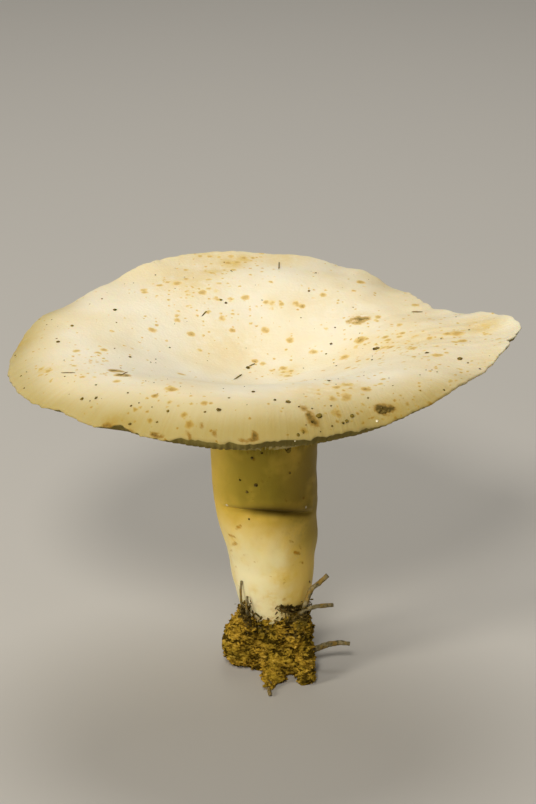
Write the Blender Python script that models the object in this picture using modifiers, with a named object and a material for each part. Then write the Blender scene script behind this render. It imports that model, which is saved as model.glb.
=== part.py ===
"""A cream-white russula as picked: a funnel-shaped cap with gills, grown in one with its stem, standing in
the clump of soil that came up with it, and the rootlets and twigs that stick out of that soil.

The frame is +Z up, with +X to the right and +Y away from the viewer. The origin is on the flat underside
of the soil clump, straight below the middle of the cap. The sizes below are in millimetres.
"""

import math
import random

import bmesh
import bpy
from mathutils import Vector

MM = 0.001
CLEARANCE = 0.35  # between pieces that touch

# The cap's rim seen from above, by azimuth in degrees (0 is +X, 90 is +Y): the radius of the margin's
# edge, the height of the rounded lip inside it, the height of the edge, and how far the gills' free edges,
# followed outwards, would reach below that.
RIM = [
    (2, 59.6, 82.5, 85.0, 1.0),
    (8, 58.6, 82.2, 85.2, 1.0),
    (14, 57.0, 81.9, 83.8, 1.0),
    (20, 55.0, 81.5, 82.5, 1.0),
    (24, 52.8, 81.1, 81.2, 1.0),
    (28, 50.3, 80.7, 81.1, 1.0),
    (32, 48.6, 80.5, 80.8, 1.0),
    (38, 48.9, 80.8, 80.8, 1.0),
    (45, 50.5, 81.5, 81.1, 1.0),
    (49, 51.2, 82.0, 80.9, 1.0),
    (55, 52.3, 82.9, 81.1, 1.0),
    (59, 52.9, 83.4, 82.5, 1.0),
    (63, 53.2, 83.8, 83.5, 1.0),
    (68, 53.5, 84.2, 83.5, 1.0),
    (80, 53.8, 85.0, 85.4, 1.0),
    (92, 54.3, 85.1, 85.7, 1.0),
    (100, 54.6, 85.0, 86.3, 1.0),
    (120, 55.0, 84.5, 85.8, 1.0),
    (127, 55.1, 84.0, 84.2, 1.0),
    (132, 55.2, 83.6, 82.6, 1.0),
    (137, 55.3, 83.2, 82.3, 1.0),
    (148, 56.4, 82.6, 80.4, 1.0),
    (158, 57.8, 82.1, 80.4, 1.0),
    (166, 58.7, 81.7, 78.0, 1.0),
    (172, 59.2, 81.5, 76.3, 1.0),
    (178, 59.5, 81.3, 76.3, 1.0),
    (190, 59.4, 81.0, 76.2, 1.0),
    (200, 58.8, 81.1, 76.7, 0.5),
    (210, 57.8, 81.5, 77.2, 0.5),
    (218, 56.7, 82.0, 77.6, 0.5),
    (226, 55.5, 82.5, 76.9, 0.5),
    (234, 54.5, 83.0, 77.3, 0.5),
    (245, 53.9, 83.4, 77.0, 0.6),
    (252, 53.7, 83.6, 77.7, 1.7),
    (262, 53.5, 83.8, 77.7, 1.9),
    (272, 53.1, 84.0, 78.3, 1.9),
    (282, 52.1, 84.1, 78.2, 1.9),
    (290, 51.4, 84.0, 78.3, 1.6),
    (297, 51.2, 84.0, 78.4, 1.2),
    (303, 51.9, 83.9, 79.4, 0.9),
    (310, 52.8, 83.8, 80.5, 0.7),
    (318, 53.1, 83.7, 81.4, 0.5),
    (326, 53.6, 83.5, 82.7, 0.5),
    (333, 54.3, 83.3, 82.8, 0.5),
    (344, 55.7, 83.0, 83.8, 0.6),
    (353, 57.6, 82.8, 84.8, 1.0),
]
SCALLOPS = [(11, 0.35, 0.4), (19, 0.30, 2.1), (31, 0.18, 1.0)]  # waves round the rim, their depth, phase
SCALLOP_RISE = 0.6  # how much the scallops lift the edge, as a share of how far they push it out
HOLLOW_HEIGHT = 73.0  # the bottom of the hollow in the cap
LIP_SHARE = 0.78  # where the lip lies, as a share of the rim's radius
EDGE_THICKNESS = 0.5

# The gills hang under the cap as ribs. Every second one is short and starts part of the way out.
GILLS = 84
GILL_HALF_WIDTH = 0.42  # at the free edge
GILL_ROOT_HALF_WIDTH = 0.6
GILL_CROWDING = 0.31  # near the stem the half widths are at most these shares of the gills' spacing
GILL_ROOT_CROWDING = 0.44
GILL_START_RADIUS = 13.2  # where the long gills' free edges meet the stem
GILL_START_HEIGHT = 59.2
GILL_START_TILT = 0.3  # the gills meet the stem a little higher on the right
GILL_EDGE_CURVE = 1.05  # above 1, the free edges sag a little between stem and margin
GILL_DEPTH = 0.36  # as a share of the cap's thickness above the free edge, at the middle of the cap
GILL_DEPTH_GAIN = 0.16  # added to it towards the margin
GILL_BACK_STEP = 1.0  # where the gills meet the stem, the flesh between them lies this much further in
SHORT_GILL_STARTS = (0.50, 0.64)  # shares of the rim's radius, taken in turn
SHORT_GILL_RISE = 0.1

# The stem's outline, top to bottom: height, sideways shift of its centre, radius.
STEM = [
    (58.0, 0.0, 12.8),
    (55.0, 0.0, 12.6),
    (51.0, 0.0, 12.5),
    (46.5, 0.1, 12.5),
    (42.5, 0.2, 12.1),
    (38.0, 0.6, 11.7),
    (33.0, 1.5, 11.2),
    (28.0, 1.8, 10.3),
    (23.0, 2.1, 9.7),
    (18.0, 2.4, 8.9),
    (12.0, 2.4, 7.6),
    (7.5, 2.4, 6.4),
    (5.2, 2.4, 4.2),
]
STEM_FOOT = 4.4
SOCKET_CUTTER_TOP = 30  # well above the soil
STEM_RINGS = (57.8, 55, 52, 49.2, 47, 45.2, 44.3, 43.7, 43.1, 42.2, 40.6, 37.6, 34, 30, 26, 22, 18, 14, 10.5, 7.6, 5.6)
CREASE_HEIGHT = 43.7  # a fold across the front of the stem
CREASE_DEPTH = 1.1
CREASE_HALF_HEIGHT = 0.7
CREASE_SHOULDER = 0.35  # the flesh swells just below the fold
CREASE_SHOULDER_DROP = 2.2
CREASE_SHOULDER_HALF_HEIGHT = 1.6
CREASE_SAG = 2.3  # how far the fold falls from the front to the sides
CREASE_SLANT = 1.2  # how much further it falls on the right, and less on the left
CREASE_REACH = 7.0  # how far above and below it the stem's rings follow it
CREASE_AZIMUTH = 275
CREASE_HALF_SPREAD = 62  # degrees either side of its middle

TOP_STEPS = 90
STEM_STEPS = 44
TOP_SHARES = [0, 0.1, 0.2, 0.31, 0.42, 0.53, 0.64, 0.72, 0.79, 0.86, 0.92, 0.965, 1]
GILL_SHARES = [1, 0.98, 0.95, 0.88, 0.78, 0.62, 0.46, 0.34]

# The soil clump: overlapping lumps as (x, y, z), (half sizes), then a ring of crumbs round the stem.
LUMPS = [
    ((2.4, 0.2, 6.6), (8.9, 8.9, 8.6)),
    ((3.6, -2.4, 4.0), (7.2, 7.0, 5.6)),
    ((-5.4, -2.4, 5.8), (4.5, 5.6, 5.9)),
    ((-3.6, 3.4, 2.8), (5.8, 6.2, 4.6)),
    ((6.6, 2.0, 5.6), (4.0, 5.4, 5.4)),
    ((2.4, 0.8, 1.2), (8.8, 8.6, 3.2)),
    ((5.8, -6.9, 2.5), (3.8, 3.2, 3.2)),
    ((9.4, -6.6, 6.6), (2.0, 2.4, 2.8)),
    ((9.9, -9.4, 4.2), (2.0, 2.4, 2.7)),
    ((10.1, -12.4, 1.6), (1.9, 2.5, 2.3)),
    ((2.0, -8.4, 1.9), (2.4, 2.4, 2.5)),
    ((1.2, -10.9, 1.2), (1.5, 2.2, 1.7)),
    ((3.1, -11.8, 1.3), (1.7, 2.3, 1.7)),
]
# Rings of crumbs pressed against the stem: height, distance from its axis, count, least and most half size.
CRUMB_RINGS = [
    (8.6, 7.9, 12, 2.0, 2.7),
    (12.4, 7.4, 14, 1.5, 2.2),
]
CRUMB_HEIGHT_SPREAD = 0.9
CRUMB_TALLNESS = 1.2
CRUMB_SEED = 7
SOIL_VOXEL = 1.0
SOIL_CLODS = (2.4, 1.8)  # coarse unevenness of the soil: the size of its features and their depth
SOIL_GRAINS = (1.3, 0.8)  # and fine unevenness

# Rootlets and twigs, as points along each and the radius at its root and tip.
ROOTLETS = {
    "twig_right_upper": (
        [(9.2, -6.2, 9.0), (9.4, -6.7, 13.0), (9.7, -7.0, 17.2), (11.3, -6.5, 21.4), (13.0, -6.0, 22.8), (15.1, -5.4, 24.6)],
        0.66,
        0.56,
    ),
    "rootlet_right_middle": (
        [(6.9, -7.4, 9.6), (7.5, -8.0, 13.4), (8.4, -8.6, 15.9), (10.2, -8.4, 17.1), (12.8, -7.4, 17.4), (16.4, -6.2, 17.2)],
        0.5,
        0.5,
    ),
    "rootlet_right_lower": (
        [(9.7, -3.8, 3.4), (12.2, -3.4, 4.2), (14.6, -3.0, 5.0), (16.4, -3.0, 5.5), (18.6, -3.0, 5.7), (20.6, -3.0, 5.4)],
        0.84,
        0.52,
    ),
    "twig_left_upright": (
        [(-4.4, -5.4, 8.5), (-4.9, -6.6, 14.0), (-5.4, -6.9, 18.0), (-5.6, -6.8, 21.0), (-5.4, -6.8, 23.7)],
        0.42,
        0.36,
    ),
    "twig_left_short": (
        [(-2.6, -7.0, 9.5), (-3.6, -8.1, 14.2), (-4.2, -8.2, 17.4), (-4.0, -7.9, 20.2)],
        0.42,
        0.4,
    ),
    "rootlet_front": (
        [(1.2, -8.6, 1.4), (1.2, -11.6, 1.2), (1.35, -14.4, 0.8), (1.1, -17.4, 0.64), (1.35, -20.6, 0.58)],
        0.6,
        0.42,
    ),
}

COLOURS = {
    "mushroom": ((0.86, 0.76, 0.52), 0.55),
    "soil_clump": ((0.33, 0.20, 0.05), 0.95),
    "rootlets": ((0.22, 0.17, 0.10), 0.85),
}


def between(table, key, wrap=None):
    """The values of a table's rows at key, on a smooth curve through them. A table with a wrap repeats."""
    keys = [row[0] for row in table]
    count = len(table)
    if wrap:
        key %= wrap
        first = max((i for i in range(count) if keys[i] <= key), default=count - 1)
        rows = [table[(first + step) % count] for step in (-1, 0, 1, 2)]
    else:
        first = min(max(sum(k <= key for k in keys) - 1, 0), count - 2)
        rows = [table[min(max(first + step, 0), count - 1)] for step in (-1, 0, 1, 2)]

    def gap(low, high):
        return (rows[high][0] - rows[low][0]) % wrap if wrap else rows[high][0] - rows[low][0]

    span = gap(1, 2)
    along = ((key - rows[1][0]) % wrap if wrap else key - rows[1][0]) / span
    along = min(max(along, 0), 1)
    ease = along * along * (3 - 2 * along)
    found = []
    for column in range(1, len(table[0])):
        before, here, there, after = (row[column] for row in rows)
        leave = (there - before) / gap(0, 2) * span
        arrive = (after - here) / gap(1, 3) * span
        bend = leave * along * (1 - along) ** 2 - arrive * along**2 * (1 - along)
        found.append(here * (1 - ease) + there * ease + bend)
    return found


def rim_at(azimuth):
    """Radius, lip and edge heights of the rim, with its small scallops, and the gills' reach below it."""
    radius, lip, edge, hang = between(RIM, azimuth, wrap=360)
    wave = sum(depth * math.sin(count * math.radians(azimuth) + phase) for count, depth, phase in SCALLOPS)
    return radius + wave, lip, edge + SCALLOP_RISE * wave, hang


def top_height(azimuth, share):
    """The cap's upper surface at a share of the rim's radius: a hollow, a rounded lip, a turned margin."""
    _, lip, edge, _ = rim_at(azimuth)
    inside = math.sin(math.pi / 2 * min(share / LIP_SHARE, 1)) ** 2
    beyond = max(0, (share - LIP_SHARE) / (1 - LIP_SHARE)) ** 2
    return HOLLOW_HEIGHT + (lip - HOLLOW_HEIGHT) * inside + (edge - lip) * beyond


def gill_edge_height(azimuth, share):
    """The free edges of the gills, which rise from the stem to just inside the thin margin."""
    radius, _, edge, hang = rim_at(azimuth)
    if share >= 1:
        return edge - EDGE_THICKNESS
    start = GILL_START_HEIGHT + GILL_START_TILT * math.cos(math.radians(azimuth))
    out = max(0, (radius * share - GILL_START_RADIUS) / (radius - GILL_START_RADIUS))
    return start + (edge - hang - start) * out**GILL_EDGE_CURVE


def flesh_height(azimuth, share):
    """The flesh between the gills. The gills take up more of the cap's thickness towards the margin."""
    low = gill_edge_height(azimuth, share)
    thickness = max(top_height(azimuth, share) - low - EDGE_THICKNESS, 0)
    return low + thickness * (GILL_DEPTH + GILL_DEPTH_GAIN * share) if share < 1 else low


def bump(value, middle, half_width):
    """A smooth bump of height 1 round a middle."""
    return math.exp(-(((value - middle) / half_width) ** 2))


def polar(azimuth, radius, height, centre=0.0):
    """A point in metres from an azimuth in degrees and sizes in millimetres."""
    turn = math.radians(azimuth)
    return Vector((centre + radius * math.cos(turn), radius * math.sin(turn), height)) * MM


def azimuth_of(vertex):
    return math.degrees(math.atan2(vertex.co.y, vertex.co.x)) % 360


def spin_profile(mesh, points, steps):
    """Spins a profile of (radius, height) points round Z and returns the new vertices and open edges."""
    old = set(mesh.verts)
    profile = [mesh.verts.new((radius, 0, height)) for radius, height in points]
    edges = [mesh.edges.new(pair) for pair in zip(profile, profile[1:])]
    bmesh.ops.spin(
        mesh, geom=profile + edges, cent=(0, 0, 0), axis=(0, 0, 1), angle=math.tau, steps=steps, use_merge=True
    )
    poles = [v for v in mesh.verts if v not in old and math.hypot(v.co.x, v.co.y) < 1e-6]
    bmesh.ops.remove_doubles(mesh, verts=poles, dist=1e-6)
    made = [v for v in mesh.verts if v not in old]
    return made, {e for v in made for e in v.link_edges if e.is_boundary}


def add_cap_top(mesh):
    made, rim = spin_profile(mesh, [(share, 0) for share in TOP_SHARES], TOP_STEPS)
    for vertex in made:
        share, azimuth = math.hypot(vertex.co.x, vertex.co.y), azimuth_of(vertex)
        vertex.co = polar(azimuth, rim_at(azimuth)[0] * share, top_height(azimuth, share))
    return rim


def gill_depth_share(gill, share):
    """How much of its full depth a gill has: all of it, or on a short gill none until it starts."""
    if gill % 2 == 0:
        return 1.0
    start = SHORT_GILL_STARTS[gill // 2 % len(SHORT_GILL_STARTS)]
    rise = min(max((share - start) / SHORT_GILL_RISE, 0), 1)
    return rise * rise * (3 - 2 * rise)


def gill_half_width(radius, root):
    spacing = math.tau * radius / GILLS
    if root:
        return min(GILL_ROOT_HALF_WIDTH, GILL_ROOT_CROWDING * spacing)
    return min(GILL_HALF_WIDTH, GILL_CROWDING * spacing)


def add_gills(mesh):
    """The underside: four columns of points to a gill, two at its root and two along its free edge."""
    made, borders = spin_profile(mesh, [(share, 0) for share in GILL_SHARES], 4 * GILLS)
    pitch = 360 / GILLS
    for vertex in made:
        share = math.hypot(vertex.co.x, vertex.co.y)
        gill, column = divmod(round(azimuth_of(vertex) / (pitch / 4)) % (4 * GILLS), 4)
        middle = (gill + 0.5) * pitch
        inner = math.isclose(share, GILL_SHARES[-1], abs_tol=1e-4)
        radius = GILL_START_RADIUS if inner else rim_at(middle)[0] * share
        true_share = radius / rim_at(middle)[0]
        root = column in (0, 3)
        half = gill_half_width(radius, root) * (1 if column > 1 else -1)
        azimuth = middle + math.degrees(half / radius)
        rim_radius = rim_at(azimuth)[0]
        low, flesh = gill_edge_height(azimuth, true_share), flesh_height(azimuth, true_share)
        height = flesh if root else flesh + (low - flesh) * gill_depth_share(gill, true_share)
        if inner:
            vertex.co = polar(azimuth, radius - (GILL_BACK_STEP if height > low + 1 else 0), height)
        else:
            vertex.co = polar(azimuth, rim_radius * share, height)
    outer = {e for e in borders if min(v.co.xy.length for v in e.verts) > 2 * GILL_START_RADIUS * MM}
    return outer, borders - outer


def stem_point(azimuth, height, grow=0.0):
    """A point on the stem's skin: its outline, its lean and the fold across its front."""
    centre, radius = between(sorted(STEM), height)
    away = (azimuth - CREASE_AZIMUTH + 180) % 360 - 180
    fade = math.cos(math.pi / 2 * min(abs(away) / CREASE_HALF_SPREAD, 1)) ** 0.6
    side = math.sin(math.radians(away))
    fall = (CREASE_SLANT * side + CREASE_SAG * side**2) * bump(height, CREASE_HEIGHT, CREASE_REACH)
    fold = CREASE_DEPTH * bump(height, CREASE_HEIGHT, CREASE_HALF_HEIGHT)
    swell = CREASE_SHOULDER * bump(height, CREASE_HEIGHT - CREASE_SHOULDER_DROP, CREASE_SHOULDER_HALF_HEIGHT)
    radius += (swell - fold) * fade + grow
    return polar(azimuth, radius, height - fall, centre)


def add_stem(mesh):
    rings = [(1, height) for height in STEM_RINGS] + [(0, STEM_FOOT)]
    made, top = spin_profile(mesh, rings, STEM_STEPS)
    for vertex in made:
        if math.hypot(vertex.co.x, vertex.co.y) < 0.5:
            vertex.co = polar(0, 0, STEM_FOOT, STEM[-1][1])
        else:
            vertex.co = stem_point(azimuth_of(vertex), vertex.co.z)
    return top


def finish_object(mesh, name, collection, material=None):
    """Turns a bmesh into a smooth object of that name with its normals outwards."""
    bmesh.ops.recalc_face_normals(mesh, faces=mesh.faces)
    data = bpy.data.meshes.new(name)
    mesh.to_mesh(data)
    mesh.free()
    obj = bpy.data.objects.new(name, data)
    collection.objects.link(obj)
    if material:
        data.materials.append(material)
    data.shade_smooth()
    return obj


def make_mushroom(collection, material):
    """Cap, gills and stem are one body, as they grew: three spun surfaces bridged at margin and stem."""
    mesh = bmesh.new()
    rim = add_cap_top(mesh)
    outer, inner = add_gills(mesh)
    top = add_stem(mesh)
    bmesh.ops.bridge_loops(mesh, edges=list(rim | outer))
    bmesh.ops.bridge_loops(mesh, edges=list(inner | top))
    bmesh.ops.triangulate(mesh, faces=mesh.faces)
    mushroom = finish_object(mesh, "mushroom", collection, material)
    mushroom.data.set_sharp_from_angle(angle=math.radians(50))
    return mushroom


def make_socket_cutter(collection):
    """The foot of the stem, grown by the clearance, which leaves a plain hole in the soil."""
    mesh = bmesh.new()
    rings = [height for height in STEM_RINGS if height <= SOCKET_CUTTER_TOP]
    profile = [(0, rings[0]), *[(1, height) for height in rings], (0, STEM_FOOT)]
    made, _ = spin_profile(mesh, profile, STEM_STEPS)
    for vertex in made:
        if math.hypot(vertex.co.x, vertex.co.y) > 0.5:
            vertex.co = stem_point(azimuth_of(vertex), vertex.co.z, grow=CLEARANCE)
        else:
            drop = CLEARANCE if vertex.co.z < rings[-1] else 0
            vertex.co = polar(0, 0, vertex.co.z - drop, STEM[-1][1])
    return as_cutter(finish_object(mesh, "cutter_socket", collection))


def as_cutter(obj):
    obj.hide_render = True
    obj.display_type = "WIRE"
    return obj


def make_rootlet(name, collection, material=None, grow=0.0):
    """One rootlet or twig as a tapering curve, thicker by grow where it serves as a cutter."""
    points, root, tip = ROOTLETS[name]
    curve = bpy.data.curves.new(name, "CURVE")
    curve.dimensions = "3D"
    curve.bevel_depth = MM
    curve.bevel_resolution = 1
    curve.use_fill_caps = True
    spline = curve.splines.new("POLY")
    spline.points.add(len(points) - 1)
    for i, (target, point) in enumerate(zip(spline.points, points)):
        target.co = (*(Vector(point) * MM), 1)
        target.radius = root + (tip - root) * i / (len(points) - 1) + grow
    obj = bpy.data.objects.new(name, curve)
    collection.objects.link(obj)
    if material:
        curve.materials.append(material)
    return obj


def make_hole_cutter(name, collection):
    """A mesh copy of a rootlet, grown by the clearance, which leaves a plain hole round it."""
    curve = make_rootlet(name, collection, grow=CLEARANCE)
    bpy.context.view_layer.update()
    data = bpy.data.meshes.new_from_object(curve.evaluated_get(bpy.context.evaluated_depsgraph_get()))
    bpy.data.objects.remove(curve)
    mesh = bmesh.new()
    mesh.from_mesh(data)
    bmesh.ops.remove_doubles(mesh, verts=mesh.verts, dist=1e-6)
    return as_cutter(finish_object(mesh, "cutter_" + name, collection))


def make_ground_cutter(collection):
    """A block below height zero, which gives the clump its flat underside."""
    mesh = bmesh.new()
    bmesh.ops.create_cube(mesh, size=1)
    bmesh.ops.scale(mesh, verts=mesh.verts, vec=(60 * MM, 60 * MM, 10 * MM))
    bmesh.ops.translate(mesh, verts=mesh.verts, vec=(0, 0, -5 * MM))
    return as_cutter(finish_object(mesh, "cutter_ground", collection))


def add_lump(mesh, centre, half_sizes):
    made = bmesh.ops.create_icosphere(mesh, subdivisions=4, radius=MM)["verts"]
    bmesh.ops.scale(mesh, verts=made, vec=half_sizes)
    bmesh.ops.translate(mesh, verts=made, vec=Vector(centre) * MM)


def roughen(obj, name, size, depth):
    """Raises and sinks a surface by a cloudy noise with features of that size, as much as depth in all."""
    noise = bpy.data.textures.new(name, "CLOUDS")
    noise.noise_scale = size * MM
    rough = obj.modifiers.new(name, "DISPLACE")
    rough.texture = noise
    rough.texture_coords = "LOCAL"
    rough.strength = depth * MM


def make_soil(collection, cutters, material):
    """The clump of soil round the foot: lumps roughened, fused by a remesh, then cut to fit."""
    draw = random.Random(CRUMB_SEED)
    mesh = bmesh.new()
    for centre, half_sizes in LUMPS:
        add_lump(mesh, centre, half_sizes)
    foot_shift = STEM[-1][1]
    for height, distance, count, least, most in CRUMB_RINGS:
        for i in range(count):
            turn = math.tau * (i + draw.uniform(-0.25, 0.25)) / count
            size = draw.uniform(least, most)
            rise = draw.uniform(-CRUMB_HEIGHT_SPREAD, CRUMB_HEIGHT_SPREAD)
            centre = (foot_shift + distance * math.cos(turn), distance * math.sin(turn), height + rise)
            add_lump(mesh, centre, (size, size, size * CRUMB_TALLNESS))
    soil = finish_object(mesh, "soil_clump", collection, material)

    roughen(soil, "clods", *SOIL_CLODS)
    roughen(soil, "grains", *SOIL_GRAINS)
    fused = soil.modifiers.new("fused", "REMESH")
    fused.mode = "VOXEL"
    fused.voxel_size = SOIL_VOXEL * MM
    for cutter in cutters:
        cut = soil.modifiers.new(cutter.name, "BOOLEAN")
        cut.operation = "DIFFERENCE"
        cut.object = cutter
    return soil


def new_material(name):
    colour, roughness = COLOURS[name]
    material = bpy.data.materials.new(name)
    material.use_nodes = True
    shader = material.node_tree.nodes["Principled BSDF"]
    shader.inputs["Base Color"].default_value = (*colour, 1)
    shader.inputs["Roughness"].default_value = roughness
    shader.inputs["Metallic"].default_value = 0
    return material


def new_collection(name):
    collection = bpy.data.collections.new(name)
    bpy.context.scene.collection.children.link(collection)
    return collection


def main():
    for obj in list(bpy.data.objects):
        bpy.data.objects.remove(obj)
    parts = new_collection("cream_russula")
    cutters = new_collection("cutters")
    make_mushroom(parts, new_material("mushroom"))
    rootlet_material = new_material("rootlets")
    holes = [make_hole_cutter(name, cutters) for name in ROOTLETS]
    for name in ROOTLETS:
        make_rootlet(name, parts, rootlet_material)
    make_soil(
        parts,
        [make_socket_cutter(cutters), make_ground_cutter(cutters), *holes],
        new_material("soil_clump"),
    )


main()
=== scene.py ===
"""The looks of a cream-white russula as picked: its cap, gills and stem, the soil that it stands in, and
the rootlets and specks of earth that came with it. Sizes are in millimetres until MM makes them metres.
"""

import functools
import math
import random

import bmesh
import bpy
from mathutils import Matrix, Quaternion, Vector, kdtree, noise
from mathutils.bvhtree import BVHTree


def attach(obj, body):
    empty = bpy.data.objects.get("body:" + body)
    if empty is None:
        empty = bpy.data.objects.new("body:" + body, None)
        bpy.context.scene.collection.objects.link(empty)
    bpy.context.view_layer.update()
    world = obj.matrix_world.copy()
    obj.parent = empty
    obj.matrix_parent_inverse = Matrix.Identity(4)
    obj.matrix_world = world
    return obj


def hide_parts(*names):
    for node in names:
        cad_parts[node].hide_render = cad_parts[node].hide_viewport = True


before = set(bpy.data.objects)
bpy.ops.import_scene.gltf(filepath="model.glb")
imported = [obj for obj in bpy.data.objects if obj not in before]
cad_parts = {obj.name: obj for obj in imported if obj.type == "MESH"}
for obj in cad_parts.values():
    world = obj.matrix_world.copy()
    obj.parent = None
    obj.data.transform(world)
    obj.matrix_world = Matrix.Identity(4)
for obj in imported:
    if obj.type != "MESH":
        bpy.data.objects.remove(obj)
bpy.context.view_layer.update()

# The camera. It stands 0.7 m away with a long lens and looks down on the mushroom by 21 degrees.
# A point of the photograph, in its own 536 by 804 frame, can be followed back along its line of sight.
MM = 0.001
LOOK_DOWN = math.radians(21)
CAMERA_DISTANCE = 700
AIM = Vector((0.9, 0, 66.6))
LENS = 133.8
SENSOR = 36
PHOTO_WIDTH, PHOTO_HEIGHT = 536, 804

sight = Vector((0, math.cos(LOOK_DOWN), -math.sin(LOOK_DOWN)))
sight_up = Vector((0, math.sin(LOOK_DOWN), math.cos(LOOK_DOWN)))
eye = (AIM - sight * CAMERA_DISTANCE) * MM
camera_data = bpy.data.cameras.new("camera")
camera_data.lens = LENS
camera_data.sensor_width = SENSOR
camera_data.clip_start = 0.05
camera = bpy.data.objects.new("camera", camera_data)
camera.location = eye
camera.rotation_euler = (math.pi / 2 - LOOK_DOWN, 0, 0)
bpy.context.scene.collection.objects.link(camera)
bpy.context.scene.camera = camera
bpy.context.scene.view_settings.view_transform = "Standard"


def line_of_sight(x, y):
    """The direction from the camera through a point of the photograph."""
    focal = LENS / SENSOR * PHOTO_HEIGHT
    across, up = x - PHOTO_WIDTH / 2, PHOTO_HEIGHT / 2 - y
    return (sight * focal + Vector((across, 0, 0)) + sight_up * up).normalized()


# The mushroom's cap. It is brittle white flesh grown into a funnel, with a rounded lip, a thin waved
# margin that turns down in front, and folds that run out to the pointed wing on the right. Its skin is a
# closed turned sheet whose points are set by the rim's measured run and then swollen a little unevenly.
RIM = [  # azimuth, radius of the edge, heights of the lip and of the edge, the gills' reach below it
    (2, 59.6, 82.5, 85.0, 1.0), (8, 58.6, 82.2, 85.2, 1.0), (14, 57.0, 81.9, 83.8, 1.0),
    (20, 55.0, 81.5, 82.5, 1.0), (24, 52.8, 81.1, 81.2, 1.0), (28, 50.3, 80.7, 81.1, 1.0),
    (32, 48.6, 80.5, 80.8, 1.0), (38, 48.9, 80.8, 80.8, 1.0), (45, 50.5, 81.5, 81.1, 1.0),
    (49, 51.2, 82.0, 80.9, 1.0), (55, 52.3, 82.9, 81.1, 1.0), (59, 52.9, 83.4, 82.5, 1.0),
    (63, 53.2, 83.8, 83.5, 1.0), (68, 53.5, 84.2, 83.5, 1.0), (80, 53.8, 85.0, 85.4, 1.0),
    (92, 54.3, 85.1, 85.7, 1.0), (100, 54.6, 85.0, 86.3, 1.0), (120, 55.0, 84.5, 85.8, 1.0),
    (127, 55.1, 84.0, 84.2, 1.0), (132, 55.2, 83.6, 82.6, 1.0), (137, 55.3, 83.2, 82.3, 1.0),
    (148, 56.4, 82.6, 80.4, 1.0), (158, 57.8, 82.1, 80.4, 1.0), (166, 58.7, 81.7, 78.0, 1.0),
    (172, 59.2, 81.5, 76.3, 1.0), (178, 59.5, 81.3, 76.3, 1.0), (190, 59.4, 81.0, 76.2, 1.0),
    (200, 58.8, 81.1, 76.7, 0.5), (210, 57.8, 81.5, 77.2, 0.5), (218, 56.7, 82.0, 77.6, 0.5),
    (226, 55.5, 82.5, 76.9, 0.5), (234, 54.5, 83.0, 77.3, 0.5), (245, 53.9, 83.4, 77.0, 0.6),
    (252, 53.7, 83.6, 77.7, 1.7), (262, 53.5, 83.8, 77.7, 1.9), (272, 53.1, 84.0, 78.3, 1.9),
    (282, 52.1, 84.1, 78.2, 1.9), (290, 51.4, 84.0, 78.3, 1.6), (297, 51.2, 84.0, 78.4, 1.2),
    (303, 51.9, 83.9, 79.4, 0.9), (310, 52.8, 83.8, 80.5, 0.7), (318, 53.1, 83.7, 81.4, 0.5),
    (326, 53.6, 83.5, 82.7, 0.5), (333, 54.3, 83.3, 82.8, 0.5), (344, 55.7, 83.0, 83.8, 0.6),
    (353, 57.6, 82.8, 84.8, 1.0),
]
SCALLOPS = [(11, 0.12, 0.4), (19, 0.09, 2.1), (31, 0.08, 1.0), (53, 0.08, 0.0), (87, 0.08, 2.0)]
UNEVEN_FROM = 0.9  # the share of the radius where the margin's unevenness begins
MARGIN_NIBBLE = 0.1  # how unevenly the thin edge is broken, from one point to the next
NIBBLE_FINENESS = 60
HOLLOW_HEIGHT = 73.0
LIP_SHARE = 0.78
EDGE_THICKNESS = 0.5
MARGIN_ROUNDING = 0.32
CAP_STEPS = 448
CAP_RINGS = 104
RINGS_DRAWN_OUT = 0.9  # below 1, the skin's rings stand closer together towards the edge
EDGE_SHARES = [0.9945, 0.9975, 0.999, 1]
SEAM_GAP = 2e-5  # points closer than this are one where a rolled sheet meets itself
SWELLS = [(15, 0.35), (5.5, 0.12), (1.8, 0.035)]  # size and height of the skin's unevenness
WING_FOLD = (4, 46)  # azimuths of the right wing, where fine folds run outwards
WING_FOLD_HEIGHT = 0.3
WING_FOLD_SHARES = (0.45, 0.8)  # where the folds begin and where they are full, on the way out
WING_FOLD_FINENESS, WING_FOLD_WANDER = 17, 1.6
EDGE_CREASES = [  # azimuth, share where it starts, depth, half width: folds that reach the edge
    (33, 0.80, 0.35, 0.8), (38, 0.86, 0.3, 0.6), (44, 0.84, 0.3, 0.8), (222, 0.93, 0.2, 0.7),
    (281, 0.92, 0.15, 0.5), (285, 0.84, 0.2, 0.6), (301, 0.93, 0.12, 0.6), (70, 0.92, 0.3, 0.7),
    (118, 0.94, 0.3, 0.6),
]
EDGE_NICKS = [  # azimuth, depth, half width: where crumbs of the thin edge have broken off
    (234, 1.1, 2.6), (239, 0.5, 0.5), (244, 0.35, 0.6), (262, 0.2, 0.9), (353.5, 1.5, 0.9),
    (350, -0.5, 0.5), (357, 0.5, 0.6), (338, 0.3, 0.6), (322, 0.25, 0.8), (37, 0.5, 0.6), (41, 0.4, 0.5),
    (47, 0.4, 0.6), (72, 0.35, 0.8), (121, 0.4, 0.7), (150, 0.4, 0.8),
]


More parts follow.
